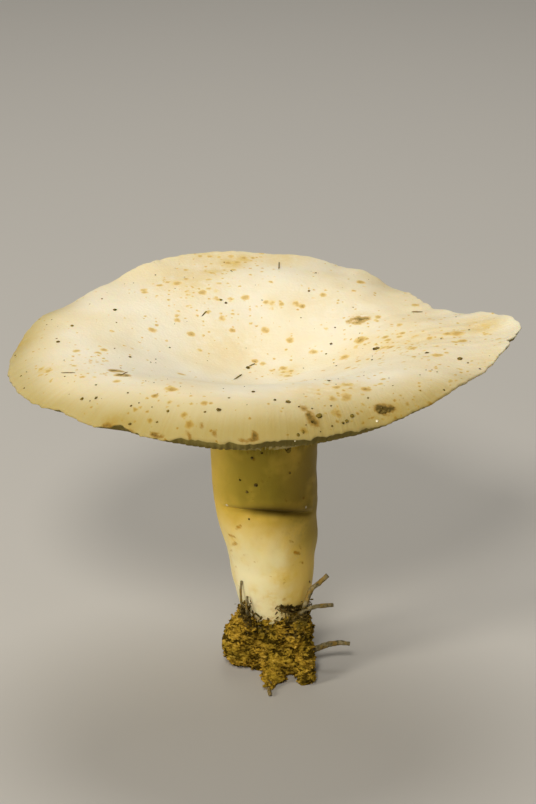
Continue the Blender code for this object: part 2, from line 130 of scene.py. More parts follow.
def between(table, key, wrap=None):
    """The values of a table's rows at key, on a smooth curve through them. A table with a wrap repeats."""
    keys = [row[0] for row in table]
    count = len(table)
    if wrap:
        key %= wrap
        first = max((i for i in range(count) if keys[i] <= key), default=count - 1)
        rows = [table[(first + step) % count] for step in (-1, 0, 1, 2)]
    else:
        first = min(max(sum(k <= key for k in keys) - 1, 0), count - 2)
        rows = [table[min(max(first + step, 0), count - 1)] for step in (-1, 0, 1, 2)]

    def gap(low, high):
        return (rows[high][0] - rows[low][0]) % wrap if wrap else rows[high][0] - rows[low][0]

    span = gap(1, 2)
    along = ((key - rows[1][0]) % wrap if wrap else key - rows[1][0]) / span
    along = min(max(along, 0), 1)
    ease = along * along * (3 - 2 * along)
    found = []
    for column in range(1, len(table[0])):
        before, here, there, after = (row[column] for row in rows)
        leave = (there - before) / gap(0, 2) * span
        arrive = (after - here) / gap(1, 3) * span
        bend = leave * along * (1 - along) ** 2 - arrive * along**2 * (1 - along)
        found.append(here * (1 - ease) + there * ease + bend)
    return found


def ramp(value, low, high):
    """Rises smoothly from 0 at low to 1 at high."""
    share = min(max((value - low) / (high - low), 0), 1)
    return share * share * (3 - 2 * share)


def bump(value, middle, half_width):
    return math.exp(-(((value - middle) / half_width) ** 2))


@functools.cache
def rim_at(azimuth):
    """The rim's radius, the heights of its lip and edge, the gills' reach below it and its unevenness."""
    radius, lip, edge, hang = between(RIM, azimuth, wrap=360)
    turn = math.radians(azimuth)
    wave = sum(depth * math.sin(count * turn + phase) for count, depth, phase in SCALLOPS)
    nibble = noise.noise(Vector((math.cos(turn), math.sin(turn), 0)) * NIBBLE_FINENESS) * 2 * MARGIN_NIBBLE
    for middle, depth, half_width in EDGE_NICKS:
        nibble -= depth * bump(math.radians(away_from(azimuth, middle)) * radius, 0, half_width)
    return radius, lip, edge, hang, wave + nibble


def away_from(azimuth, middle):
    return (azimuth - middle + 180) % 360 - 180


def skin_at(azimuth, share):
    """Radius and height of the upper skin at a share of the way out: a hollow, a lip, a turned margin."""
    rim, lip, edge, _, uneven = rim_at(azimuth)
    radius = rim * share + uneven * ramp(share, UNEVEN_FROM, 1)
    share = radius / rim
    inside = math.sin(math.pi / 2 * min(share / LIP_SHARE, 1)) ** 2
    beyond = max(0, (share - LIP_SHARE) / (1 - LIP_SHARE)) ** 2
    return radius, HOLLOW_HEIGHT + (lip - HOLLOW_HEIGHT) * inside + (edge - lip) * beyond


def polar(azimuth, radius, height, centre=0.0):
    turn = math.radians(azimuth)
    return Vector((centre + radius * math.cos(turn), radius * math.sin(turn), height)) * MM


def azimuth_of(point):
    return round(math.degrees(math.atan2(point.y, point.x)) % 360, 3) % 360


def swelling(point):
    """How far the skin stands out at a point, in millimetres, from broad swells to fine grain."""
    return sum(depth * noise.noise(point / (size * MM)) for size, depth in SWELLS)


def cap_relief(azimuth, share, radius):
    """Folds on the right wing and creases that reach the edge."""
    low, high = WING_FOLD
    wing = bump(away_from(azimuth, (low + high) / 2), 0, high - low) * ramp(share, *WING_FOLD_SHARES)
    turn = math.radians(azimuth)
    across, along = math.cos(turn) * WING_FOLD_FINENESS, math.sin(turn) * WING_FOLD_FINENESS
    folds = noise.noise(Vector((across, along, share * WING_FOLD_WANDER)))
    relief = WING_FOLD_HEIGHT * wing * folds
    for middle, start, depth, half_width in EDGE_CREASES:
        across = math.radians(away_from(azimuth, middle)) * radius
        relief -= depth * bump(across, 0, half_width) * ramp(share, start, 1)
    return relief


def add_round_sheet(mesh, profile, columns):
    """Rolls a grid round Z into a closed ring with a profile of (radius, height) points.

    Returns its vertices and its open edges. A profile point on the axis becomes a single pole.
    """
    rings = len(profile) - 1
    grid = bmesh.ops.create_grid(mesh, x_segments=columns, y_segments=rings, size=0.5)["verts"]
    for vertex in grid:
        radius, height = profile[round((vertex.co.y + 0.5) * rings)]
        turn = math.tau * (round((vertex.co.x + 0.5) * columns) % columns) / columns
        vertex.co = radius * math.cos(turn), radius * math.sin(turn), height
    bmesh.ops.remove_doubles(mesh, verts=grid, dist=SEAM_GAP)
    made = [vertex for vertex in grid if vertex.is_valid]
    return made, {edge for vertex in made for edge in vertex.link_edges if edge.is_boundary}


def paint_faces(vertices, index):
    for face in {face for vertex in vertices for face in vertex.link_faces}:
        face.material_index = index


def add_cap_skin(mesh):
    """The upper skin, whose last rings turn over the rounded edge."""
    shares = [(ring / CAP_RINGS) ** RINGS_DRAWN_OUT for ring in range(CAP_RINGS)] + EDGE_SHARES
    made, rim = add_round_sheet(mesh, [(share, 0) for share in shares], CAP_STEPS)
    out = mesh.verts.layers.float["out"]
    for vertex in made:
        share, azimuth = math.hypot(vertex.co.x, vertex.co.y), azimuth_of(vertex.co)
        vertex[out] = share
        radius, height = skin_at(azimuth, share)
        turned = min(max(0, 1 - (skin_at(azimuth, 1)[0] - radius) / MARGIN_ROUNDING), 1)
        height -= MARGIN_ROUNDING * (1 - math.sqrt(1 - turned**2))
        place = polar(azimuth, radius, height)
        vertex.co = place + Vector((0, 0, (swelling(place) + cap_relief(azimuth, share, radius)) * MM))
    paint_faces(made, 0)
    return rim


# The gills. They are thin plates of the same flesh that hang under the cap and run a little down the
# stem. Long ones reach from stem to margin, and short ones of many lengths fill in between them.
GILLS = 224
GILL_COLUMNS = [  # a gill's section: share of the way to the next gill, share of its depth
    (0.06, 0), (0.24, 0.06), (0.40, 0.93), (0.60, 0.93), (0.76, 0.06), (0.94, 0),
]
GILL_RINGS = [1, 0.988, 0.965, 0.93, 0.88, 0.82, 0.75, 0.67, 0.59, 0.51, 0.43, 0.36, 0.29]
GILL_START_RADIUS = 13.2
GILL_START_HEIGHT = 59.2
GILL_START_TILT = 0.3
GILL_EDGE_CURVE = 1.05
GILL_DEPTH = 0.36  # as a share of the cap's thickness, and how much that gains towards the margin
GILL_DEPTH_GAIN = 0.16
GILL_FADE = 0.75
GILL_BACK_STEP = 0.8
GILL_WANDER = 0.25  # how far a gill strays to either side on its way out
SHORT_GILL_STARTS = (0.38, 0.85)
SHORT_GILL_RISE = 0.08
GILL_EDGE_LIFT = 0.35  # the most that a gill's free edge is drawn up, halfway out
GILL_EDGE_LIFT_SHARE = 0.3

gill_draw = random.Random(11)
short_starts = [gill_draw.uniform(*SHORT_GILL_STARTS) if gill % 2 else 0 for gill in range(GILLS)]
gill_edge_lift = [gill_draw.uniform(0, GILL_EDGE_LIFT) for gill in range(GILLS)]


def gill_edge_height(azimuth, share):
    """The free edge's height, which stays below the flesh of the thin margin."""
    rim, _, edge, hang, _ = rim_at(azimuth)
    start = GILL_START_HEIGHT + GILL_START_TILT * math.cos(math.radians(azimuth))
    out = max(0, (rim * share - GILL_START_RADIUS) / (rim - GILL_START_RADIUS))
    free = start + (edge - hang - start) * out**GILL_EDGE_CURVE
    return min(free, skin_at(azimuth, share)[1] - EDGE_THICKNESS)


def gill_depth(azimuth, share):
    """How deep a gill is: it is lower where the margin thins out."""
    thickness = skin_at(azimuth, share)[1] - gill_edge_height(azimuth, share) - EDGE_THICKNESS
    shallow = 1 - GILL_FADE * ramp(share, 0.9, 0.985)
    return thickness * (GILL_DEPTH + GILL_DEPTH_GAIN * share) * shallow


def add_gills(mesh):
    """The underside as one turned sheet, folded so that each gill has a root on either side and an edge."""
    columns = len(GILL_COLUMNS)
    made, borders = add_round_sheet(mesh, [(share, 0) for share in GILL_RINGS], columns * GILLS)
    out = mesh.verts.layers.float["out"]
    pitch = 360 / GILLS
    for vertex in made:
        ring = min(GILL_RINGS, key=lambda share: abs(share - math.hypot(vertex.co.x, vertex.co.y)))
        gill, column = divmod(round(azimuth_of(vertex.co) / (pitch / columns)) % (columns * GILLS), columns)
        across, depth_share = GILL_COLUMNS[column]
        inner = ring == GILL_RINGS[-1]
        stray = noise.noise(Vector((gill * 7.3, ring * 4, 0))) * GILL_WANDER * ramp(ring, 0.29, 0.45)
        straight = round((gill + across) * pitch, 3)
        radius, height = (GILL_START_RADIUS, 0) if inner else skin_at(straight, ring)
        azimuth = straight + math.degrees(stray * depth_share / radius)
        share = GILL_START_RADIUS / rim_at(straight)[0] if inner else ring
        vertex[out] = share
        low, depth = gill_edge_height(straight, share), gill_depth(straight, share)
        grown = depth_share * ramp(share, short_starts[gill], short_starts[gill] + SHORT_GILL_RISE)
        lift = gill_edge_lift[gill] * bump(share, 0.6, 0.25) * GILL_EDGE_LIFT_SHARE
        hang = depth * grown * (1 - lift)
        if inner:
            vertex.co = polar(azimuth, radius - GILL_BACK_STEP * (1 - grown), low + depth - hang)
        elif ring == 1:
            vertex.co = polar(azimuth, radius - 0.4 * MARGIN_ROUNDING, height - EDGE_THICKNESS)
        else:
            vertex.co = polar(azimuth, radius, low + depth - hang)
    paint_faces(made, 1)
    outer = {e for e in borders if min(v.co.xy.length for v in e.verts) > 2 * GILL_START_RADIUS * MM}
    return outer, borders - outer


# The stem. It is solid and stout, wider at the top, with a fold across its front where it was once bent,
# and a dry skin with faint lengthwise fibres, small dents and pinholes.
STEM = [  # height, sideways shift of the centre, radius
    (5.2, 2.4, 4.2), (7.5, 2.4, 6.4), (12.0, 2.4, 7.6), (18.0, 2.4, 8.9), (23.0, 2.1, 9.7),
    (28.0, 1.8, 10.3), (33.0, 1.5, 11.2), (38.0, 0.6, 11.7), (42.5, 0.2, 12.1), (46.5, 0.1, 12.5),
    (51.0, 0.0, 12.5), (55.0, 0.0, 12.6), (58.0, 0.0, 12.8),
]
STEM_TOP, STEM_LOWEST_RING, STEM_FOOT = 57.8, 5.4, 4.4
STEM_ROUGH = (10, 55)  # the heights between which its skin is fully uneven
STEM_STEPS = 168
STEM_RINGS = 115
STEM_SWELLS = [(9, 0.3), (3.5, 0.12), (1.3, 0.05)]
CREASE_HEIGHT = 43.7
CREASE_DEPTH = 1.2
CREASE_HALF_HEIGHT = 0.55
CREASE_OVERHANG = 0.6  # the flesh above the fold bulges over it
CREASE_SHOULDER = 0.3
CREASE_SHOULDER_DROP = 2.2
CREASE_SHOULDER_HALF_HEIGHT = 1.6
CREASE_SAG = 2.3
CREASE_SLANT = 1.2
CREASE_REACH = 7.0
CREASE_AZIMUTH = 275
CREASE_HALF_SPREAD, CREASE_FADE = 62, 0.6  # degrees to either side, and how bluntly it fades out there
CREASE_SHADE_RISE, CREASE_SHADE_HALF_HEIGHT = 0.5, 1.7  # painted shade: the dark line in and just above the fold
CREASE_SHADE_LEFT = 0.45  # its strength at the left end as a share of that at the right
RINGS_DRAWN_TO_CREASE = 0.8
RINGS_NEAR_CREASE = 5.0


def fold_fade(azimuth):
    """How deep the fold is at an azimuth: 1 in its middle, 0 at its ends."""
    away = min(abs(away_from(azimuth, CREASE_AZIMUTH)) / CREASE_HALF_SPREAD, 1)
    return math.cos(math.pi / 2 * away) ** CREASE_FADE


def stem_point(azimuth, height):
    """A point on the stem's skin: its outline, its lean, the fold and the small unevenness."""
    centre, radius = between(STEM, height)
    away = away_from(azimuth, CREASE_AZIMUTH)
    fade = fold_fade(azimuth)
    side = math.sin(math.radians(away))
    fall = (CREASE_SLANT * side + CREASE_SAG * side**2) * bump(height, CREASE_HEIGHT, CREASE_REACH)
    fold = CREASE_DEPTH * bump(height, CREASE_HEIGHT, CREASE_HALF_HEIGHT)
    brow = CREASE_OVERHANG * bump(height, CREASE_HEIGHT + 2.5 * CREASE_HALF_HEIGHT, 2 * CREASE_HALF_HEIGHT)
    swell = CREASE_SHOULDER * bump(height, CREASE_HEIGHT - CREASE_SHOULDER_DROP, CREASE_SHOULDER_HALF_HEIGHT)
    place = polar(azimuth, radius + (swell + brow - fold) * fade, height - fall, centre)
    dents = sum(depth * noise.noise(place / (size * MM)) for size, depth in STEM_SWELLS)
    low, high = STEM_ROUGH
    rough = ramp(height, STEM_FOOT, low) * (1 - ramp(height, high, STEM_TOP))
    outward = polar(azimuth, 1, 0)
    return place + outward * dents * rough


def add_stem(mesh):
    heights = []
    for ring in range(STEM_RINGS + 1):
        even = STEM_TOP + (STEM_LOWEST_RING - STEM_TOP) * ring / STEM_RINGS
        off = even - CREASE_HEIGHT
        heights.append(even - RINGS_DRAWN_TO_CREASE * off * bump(off, 0, RINGS_NEAR_CREASE))
    made, top = add_round_sheet(mesh, [(1, height) for height in heights] + [(0, STEM_FOOT)], STEM_STEPS)
    fold = mesh.verts.layers.float["fold"]
    for vertex in made:
        if math.hypot(vertex.co.x, vertex.co.y) < 0.5:
            vertex.co = polar(0, 0, STEM_FOOT, STEM[0][1])
        else:
            azimuth, height = azimuth_of(vertex.co), vertex.co.z
            # Painted shade in and just above the fold, stronger towards its right end.
            rightwards = ramp(away_from(azimuth, CREASE_AZIMUTH), -45, 5)
            fold_shade = CREASE_SHADE_LEFT + (1 - CREASE_SHADE_LEFT) * rightwards
            fold_shade *= bump(height, CREASE_HEIGHT + CREASE_SHADE_RISE, CREASE_SHADE_HALF_HEIGHT)
            vertex[fold] = fold_shade * fold_fade(azimuth)
            vertex.co = stem_point(azimuth, height)
    paint_faces(made, 2)
    return top


def finish_object(mesh, name):
    """Turns a bmesh into a smooth object of that name."""
    data = bpy.data.meshes.new(name)
    mesh.to_mesh(data)
    mesh.free()
    data.shade_smooth()
    obj = bpy.data.objects.new(name, data)
    bpy.context.scene.collection.objects.link(obj)
    return obj


flesh = bmesh.new()
flesh.verts.layers.float.new("out")
flesh.verts.layers.float.new("fold")
cap_rim = add_cap_skin(flesh)
gills_outer, gills_inner = add_gills(flesh)
stem_top = add_stem(flesh)
edge_band = bmesh.ops.bridge_loops(flesh, edges=list(cap_rim | gills_outer))["faces"]
throat = bmesh.ops.bridge_loops(flesh, edges=list(gills_inner | stem_top))["faces"]
for face in edge_band:
    face.material_index = 0
for face in throat:
    face.material_index = 2
bmesh.ops.recalc_face_normals(flesh, faces=flesh.faces)
flesh.normal_update()
skin_tree = BVHTree.FromBMesh(flesh)
mushroom = finish_object(flesh, "mushroom_flesh")


def place_in_photo(tree, x, y):
    """Where a point of the photograph lies on a surface, with that surface's normal."""
    found, normal, _, _ = tree.ray_cast(eye, line_of_sight(x, y))
    return found, normal


# The stains. Handling and rain leave soft tan and orange-brown patches on the cap, each where the
# photograph shows it, and the skin's own random ones cover the sides that it doesn't show.
STAINS = [  # x and y in the photograph, width there
    (228, 263, 7), (238, 262, 7), (244, 258, 6), (232, 270, 6), (212, 273, 9), (179, 283, 10),
    (160, 285, 6), (167, 282, 5), (203, 292, 9), (145, 292, 6), (186, 279, 5), (186, 270, 5), (253, 258, 5),
    (225, 270, 5), (245, 297, 8), (221, 318, 8), (265, 330, 8), (145, 290, 8), (153, 330, 9), (104, 350, 7),
    (76, 351, 7), (41, 369, 8), (48, 371, 8), (94, 377, 6), (117, 381, 8), (172, 389, 13), (205, 403, 7),
    (155, 396, 6), (184, 415, 7), (189, 424, 8), (255, 361, 6), (263, 364, 6), (249, 367, 5), (181, 374, 8),
    (191, 334, 7), (179, 311, 7), (297, 304, 8), (302, 306, 6), (266, 302, 6), (273, 303, 7), (281, 304, 6),
    (323, 295, 7), (361, 282, 9), (378, 317, 6), (290, 340, 8), (314, 352, 10), (344, 357, 10),
    (361, 340, 12), (385, 337, 7), (355, 347, 9), (383, 348, 8), (391, 347, 8), (378, 351, 6),
    (413, 348, 13), (399, 325, 7), (416, 305, 8), (447, 334, 9), (457, 333, 13), (437, 355, 11),
    (381, 363, 6), (347, 368, 7), (354, 368, 7), (283, 372, 6), (288, 376, 7), (286, 367, 5), (291, 371, 5),
    (284, 368, 8), (319, 394, 7), (333, 398, 8), (345, 397, 11), (347, 385, 9), (337, 387, 8),
    (335, 412, 8), (303, 431, 7), (200, 350, 5), (326, 329, 6), (232, 330, 6), (303, 381, 7), (366, 389, 8),
    (402, 333, 6), (430, 338, 7), (462, 341, 8), (118, 375, 9), (150, 420, 5), (170, 402, 5),
]
TAN_ZONES = [  # broad, faint tints: x, y, width, strength
    (205, 254, 70, 0.5), (285, 258, 50, 0.5), (335, 262, 60, 0.5), (385, 284, 50, 0.4), (20, 345, 50, 0.6),
    (232, 263, 30, 1.2), (244, 259, 20, 1.2), (212, 272, 34, 0.9), (190, 282, 90, 0.6), (176, 283, 24, 0.8),
    (225, 345, 95, 0.4), (325, 300, 110, 0.25), (400, 342, 110, 0.45), (483, 327, 36, 1.0),
    (476, 322, 30, 0.7), (345, 412, 60, 0.3), (420, 400, 60, 0.4), (112, 427, 24, 1.0), (126, 430, 20, 0.8),
    (60, 370, 60, 0.3), (44, 370, 18, 0.8), (270, 432, 60, 0.2), (395, 410, 34, 0.7), (372, 414, 26, 0.6),
    (490, 362, 50, 0.2), (436, 394, 34, 0.5), (320, 420, 34, 0.4), (300, 430, 24, 0.4), (387, 346, 34, 0.6),
    (362, 318, 26, 0.8), (288, 372, 30, 0.7), (315, 390, 60, 0.5), (345, 386, 40, 0.7), (297, 304, 22, 0.5),
    (271, 302, 24, 0.4),
]
FRECKLED = [  # where small stains lie thick: x, y, width, strength
    (400, 345, 130, 1.0), (345, 385, 90, 1.0), (200, 295, 110, 1.0), (230, 268, 90, 0.9),
    (285, 370, 60, 0.8), (90, 365, 90, 0.8), (170, 400, 90, 0.6), (440, 370, 70, 0.8), (330, 300, 80, 0.5),
    (470, 335, 60, 0.9), (345, 418, 60, 1.0), (270, 330, 90, 0.4), (120, 340, 70, 0.5), (175, 425, 50, 0.5),
    (400, 405, 60, 0.9),
]
OLIVE_MARKS = [  # smears of wet earth: from x, y to x, y in the photograph, width, strength
    (355, 319, 366, 319, 10, 0.9), (347, 322, 360, 323, 6, 0.6), (112, 370, 121, 372, 8, 0.7),
    (119, 374, 127, 376, 8, 0.8), (309, 413, 312, 420, 6, 0.5), (311, 420, 316, 425, 6, 0.5),
    (254, 433, 255, 438, 4, 0.6), (251, 440, 257, 440, 4, 0.5), (240, 441, 248, 442, 3, 0.4),
    (376, 410, 392, 409, 8, 0.9), (378, 413, 386, 414, 5, 0.8), (104, 426, 113, 429, 6, 0.5),
    (113, 429, 131, 431, 5, 0.5), (188, 432, 190, 440, 3, 0.6), (214, 431, 216, 436, 3, 0.6),
    (201, 423, 202, 427, 3, 0.5), (150, 434, 163, 437, 3, 0.5), (302, 406, 305, 409, 5, 0.5),
]
STEM_MARKS = [  # small brown bruises on the stem, drawn as the smears are
    (236, 528, 241, 526, 5, 1.0), (229, 535, 235, 537, 5, 0.9), (232, 545, 237, 543, 5, 0.9),
    (229, 551, 233, 550, 4, 0.7), (294, 552, 300, 554, 5, 1.0), (289, 541, 293, 542, 4, 0.7),
    (244, 555, 247, 554, 4, 0.6), (303, 497, 304, 499, 5, 0.8), (289, 472, 291, 473, 4, 0.8),
    (261, 538, 262, 538, 4, 0.6), (302, 562, 303, 564, 4, 0.8), (283, 584, 285, 583, 4, 0.6),
    (253, 458, 254, 460, 5, 0.8), (293, 486, 294, 487, 3, 0.7), (282, 600, 285, 599, 4, 0.7),
    (299, 545, 301, 549, 4, 0.6), (286, 532, 290, 534, 3, 0.5), (254, 562, 255, 562, 3, 0.6),
]
STEM_TINTS = [  # broad ochre tints on the pale stem: x, y, width, strength
    (286, 578, 24, 0.9), (298, 556, 22, 0.9), (298, 530, 24, 0.7), (232, 540, 20, 0.8), (238, 517, 16, 0.6),
    (254, 590, 14, 0.5), (270, 596, 18, 0.6), (292, 598, 22, 0.9), (244, 560, 12, 0.35),
    (262, 522, 30, 0.4),
]
PIXELS_PER_MM = 4.27
SMEAR_PACE = 1.5
SMEAR_ENDS = 0.55  # the width of a smear's ends as a share of its middle's


def spread(target, layer, places, power=1.0):
    """A new attribute of a mesh that rises to its strength at each place, a (point, radius, strength)."""
    values = [0.0] * len(target.data.vertices)
    lookup = kdtree.KDTree(len(values))
    for vertex in target.data.vertices:
        lookup.insert(vertex.co, vertex.index)
    lookup.balance()
    for point, radius, strength in places:
        for _, index, distance in lookup.find_range(point, radius):
            value = strength * (1 - distance / radius) ** power
            values[index] = max(values[index], value)
    attribute = target.data.attributes.new(layer, "FLOAT", "POINT")
    attribute.data.foreach_set("value", values)


def seen_places(marks, reach, surface=skin_tree):
    """Where marks of the photograph lie on a surface, each reaching that many times its width."""
    places = []
    for x, y, width, *strength in marks:
        point, _ = place_in_photo(surface, x, y)
        if point:
            places.append((point, width / PIXELS_PER_MM * reach * MM, strength[0] if strength else 1))
    return places


def smears(marks):
    """Marks drawn close together from one end of each smear to the other, narrower towards its ends."""
    found = []
    for x, y, end_x, end_y, width, strength in marks:
        count = max(2, round(math.hypot(end_x - x, end_y - y) / SMEAR_PACE))
        for i in range(count + 1):
            share = i / count
            thin = SMEAR_ENDS + (1 - SMEAR_ENDS) * math.sin(math.pi * share)
            found.append((x + (end_x - x) * share, y + (end_y - y) * share, width * thin, strength))
    return found


spread(mushroom, "stain", seen_places(STAINS, reach=0.72))
spread(mushroom, "tan", seen_places(TAN_ZONES, reach=0.75))
spread(mushroom, "freckled", seen_places(FRECKLED, reach=0.7), power=0.6)
spread(mushroom, "olive", seen_places(smears(OLIVE_MARKS), reach=1.15), power=1.1)
spread(mushroom, "bruise", seen_places(smears(STEM_MARKS), reach=0.8))
spread(mushroom, "tint", seen_places(STEM_TINTS, reach=0.75))


# The skins' finishes. Flesh lets a little light into itself. The cap is cream and dry, with fine radial
# fibres;
# on the band outside the lip, towards the front and left, painted shade makes it duller and yellower, partly
# the margin's own yellowing. Gills are a shade darker, with painted shade towards the margin. The stem is
# ochre under the cap, painted shade that is partly its own yellowing, with painted shade on its right and a
# painted highlight low on its left, and pale below the fold.
CREAM = (0.92, 0.80, 0.53)
PALE_CREAM = (0.96, 0.88, 0.68)
SHADED_BAND = (0.49, 0.39, 0.14)
HALF_SHADED_BAND = (0.66, 0.56, 0.30)
UNTINTED = (1, 1, 1)
TAN_TINT = (0.88, 0.73, 0.33)  # tints multiply the skin's own colour
HALO_TINT = (0.95, 0.81, 0.45)
STAIN_TINT = (0.70, 0.51, 0.19)
MIDDLE_TINT = (0.36, 0.25, 0.06)
OLIVE_TINT = (0.20, 0.155, 0.03)
BRUISE_TINT = (0.64, 0.45, 0.15)
GILL_CREAM = (0.56, 0.47, 0.21)
GILL_DEEP = (0.34, 0.27, 0.09)
GILL_MARGIN_PAINTED_SHADE = (0.18, 0.14, 0.03)
SHADED_STEM_OCHRE = (0.43, 0.32, 0.035)
STEM_PAINTED_SHADE = (0.24, 0.165, 0.02)
STEM_CREAM = (0.98, 0.83, 0.41)
STEM_GOLD_TINT_AND_SHADE = (0.88, 0.60, 0.09)
STEM_PAINTED_HIGHLIGHT = (1.0, 0.90, 0.58)
FOLD_PAINTED_SHADE = (0.12, 0.078, 0.01)
FRECKLE_KINDS = ((4.6, 0.80), (2.5, 0.68), (1.4, 0.62))  # the size of their cells and how rare they are
LARGEST_FRECKLE = 0.42  # its radius as a share of its cell


def add_node(tree, kind, inputs=None, **settings):
    """A shader node, with its inputs set to values or linked to other nodes' outputs."""
    made = tree.nodes.new("ShaderNode" + kind)
    for key, value in settings.items():
        setattr(made, key, value)
    for key, value in (inputs or {}).items():
        if isinstance(value, bpy.types.NodeSocket):
            tree.links.new(value, made.inputs[key])
        else:
            made.inputs[key].default_value = value
    return made


def blend_colour(tree, factor, first, second, mode="MIX"):
    mix = add_node(tree, "Mix", data_type="RGBA", blend_type=mode)
    for key, value in ((0, factor), (6, first), (7, second)):
        if isinstance(value, bpy.types.NodeSocket):
            tree.links.new(value, mix.inputs[key])
        else:
            mix.inputs[key].default_value = (*value, 1) if key else value
    return mix.outputs[2]


def mapped(tree, value, low, high, to_low=0.0, to_high=1.0):
    """A value from low to high turned smoothly into one from to_low to to_high."""
    inputs = {"Value": value, "From Min": low, "From Max": high, "To Min": to_low, "To Max": to_high}
    return add_node(tree, "MapRange", inputs, interpolation_type="SMOOTHSTEP").outputs[0]


def calculate(operation, tree, *values):
    """One Math operation over all the values in turn."""
    result, *others = values
    for value in others:
        result = add_node(tree, "Math", {0: result, 1: value}, operation=operation).outputs[0]
    return result


plus, minus, times, over, most, least = (
    functools.partial(calculate, operation)
    for operation in ("ADD", "SUBTRACT", "MULTIPLY", "DIVIDE", "MAXIMUM", "MINIMUM")
)


def scaled(tree, vector, by):
    return add_node(tree, "VectorMath", {0: vector, "Scale": by}, operation="SCALE").outputs[0]


def of_vectors(operation, tree, first, second):
    return add_node(tree, "VectorMath", {0: first, 1: second}, operation=operation).outputs[0]


def axes_of(tree, vector):
    return add_node(tree, "SeparateXYZ", {0: vector}).outputs


def layered(tree, colour, *layers, mode="MIX"):
    """A colour with others laid over it in turn, each a pair of its strength and the colour."""
    for strength, above in layers:
        colour = blend_colour(tree, strength, colour, above, mode)
    return colour


def millimetres(tree):
    """The place on the object, in millimetres."""
    return scaled(tree, add_node(tree, "TexCoord").outputs["Object"], 1 / MM)


def grain_of(tree, vector, size, detail=2.0, roughness=0.5):
    """Cloudy noise with features of that size in the vector's own unit."""
    inputs = {"Vector": vector, "Scale": 1 / size, "Detail": detail, "Roughness": roughness}
    return add_node(tree, "TexNoise", inputs).outputs[0]


def attribute_of(tree, name):
    return add_node(tree, "Attribute", attribute_name=name).outputs["Fac"]


def round_the_stem(tree, place, fineness, length):
    """A vector that changes fast round the stem's axis and slowly along the radius and height: fibres."""
    flat = of_vectors("MULTIPLY", tree, place, (1, 1, 0))
    turn = add_node(tree, "VectorMath", {0: flat}, operation="NORMALIZE").outputs[0]
    radius = add_node(tree, "VectorMath", {0: flat}, operation="LENGTH").outputs["Value"]
    along = times(tree, plus(tree, radius, axes_of(tree, place)[2]), 1 / length)
    lift = add_node(tree, "CombineXYZ", {2: along}).outputs[0]
    return of_vectors("ADD", tree, scaled(tree, turn, fineness), lift)


def new_finish(name, roughness, subsurface=0.0, gloss=0.15):
    """A material with a Principled shader, and its node tree."""
    material = bpy.data.materials.new(name)
    material.use_nodes = True
    tree = material.node_tree
    shader = tree.nodes["Principled BSDF"]
    shader.inputs["Roughness"].default_value = roughness
    shader.inputs["Specular IOR Level"].default_value = gloss
    shader.inputs["Subsurface Weight"].default_value = subsurface
    shader.inputs["Subsurface Radius"].default_value = (1.0, 0.6, 0.25)
    shader.inputs["Subsurface Scale"].default_value = 2.2 * MM
    return material, tree, shader


def set_relief(tree, shader, height, depth, strength=1.0):
    """Bump from a height between 0 and 1 that stands for that depth in millimetres."""
    inputs = {"Height": height, "Distance": depth * MM, "Strength": strength}
    tree.links.new(add_node(tree, "Bump", inputs).outputs[0], shader.inputs["Normal"])


def freckle_field(tree, place, size, thick, rarity):
    """Ragged round spots, one to a cell at most: 1 in a spot's middle, 0 where there is none."""
    push = add_node(tree, "TexNoise", {"Vector": place, "Scale": 2.2 / size, "Detail": 2.0}).outputs["Color"]
    moved = of_vectors("ADD", tree, place, scaled(tree, push, size * 0.55))
    cells = add_node(tree, "TexVoronoi", {"Vector": moved, "Scale": 1 / size})
    chance = add_node(tree, "SeparateColor", {0: cells.outputs["Color"]}).outputs[0]
    needed = minus(tree, rarity + 0.14, times(tree, thick, 0.36))
    reach = times(tree, minus(tree, chance, needed), 1.3)
    reach = least(tree, most(tree, reach, 0.0001), LARGEST_FRECKLE)
    near = over(tree, cells.outputs["Distance"], reach)
    return most(tree, minus(tree, 1.0, near), 0.0)


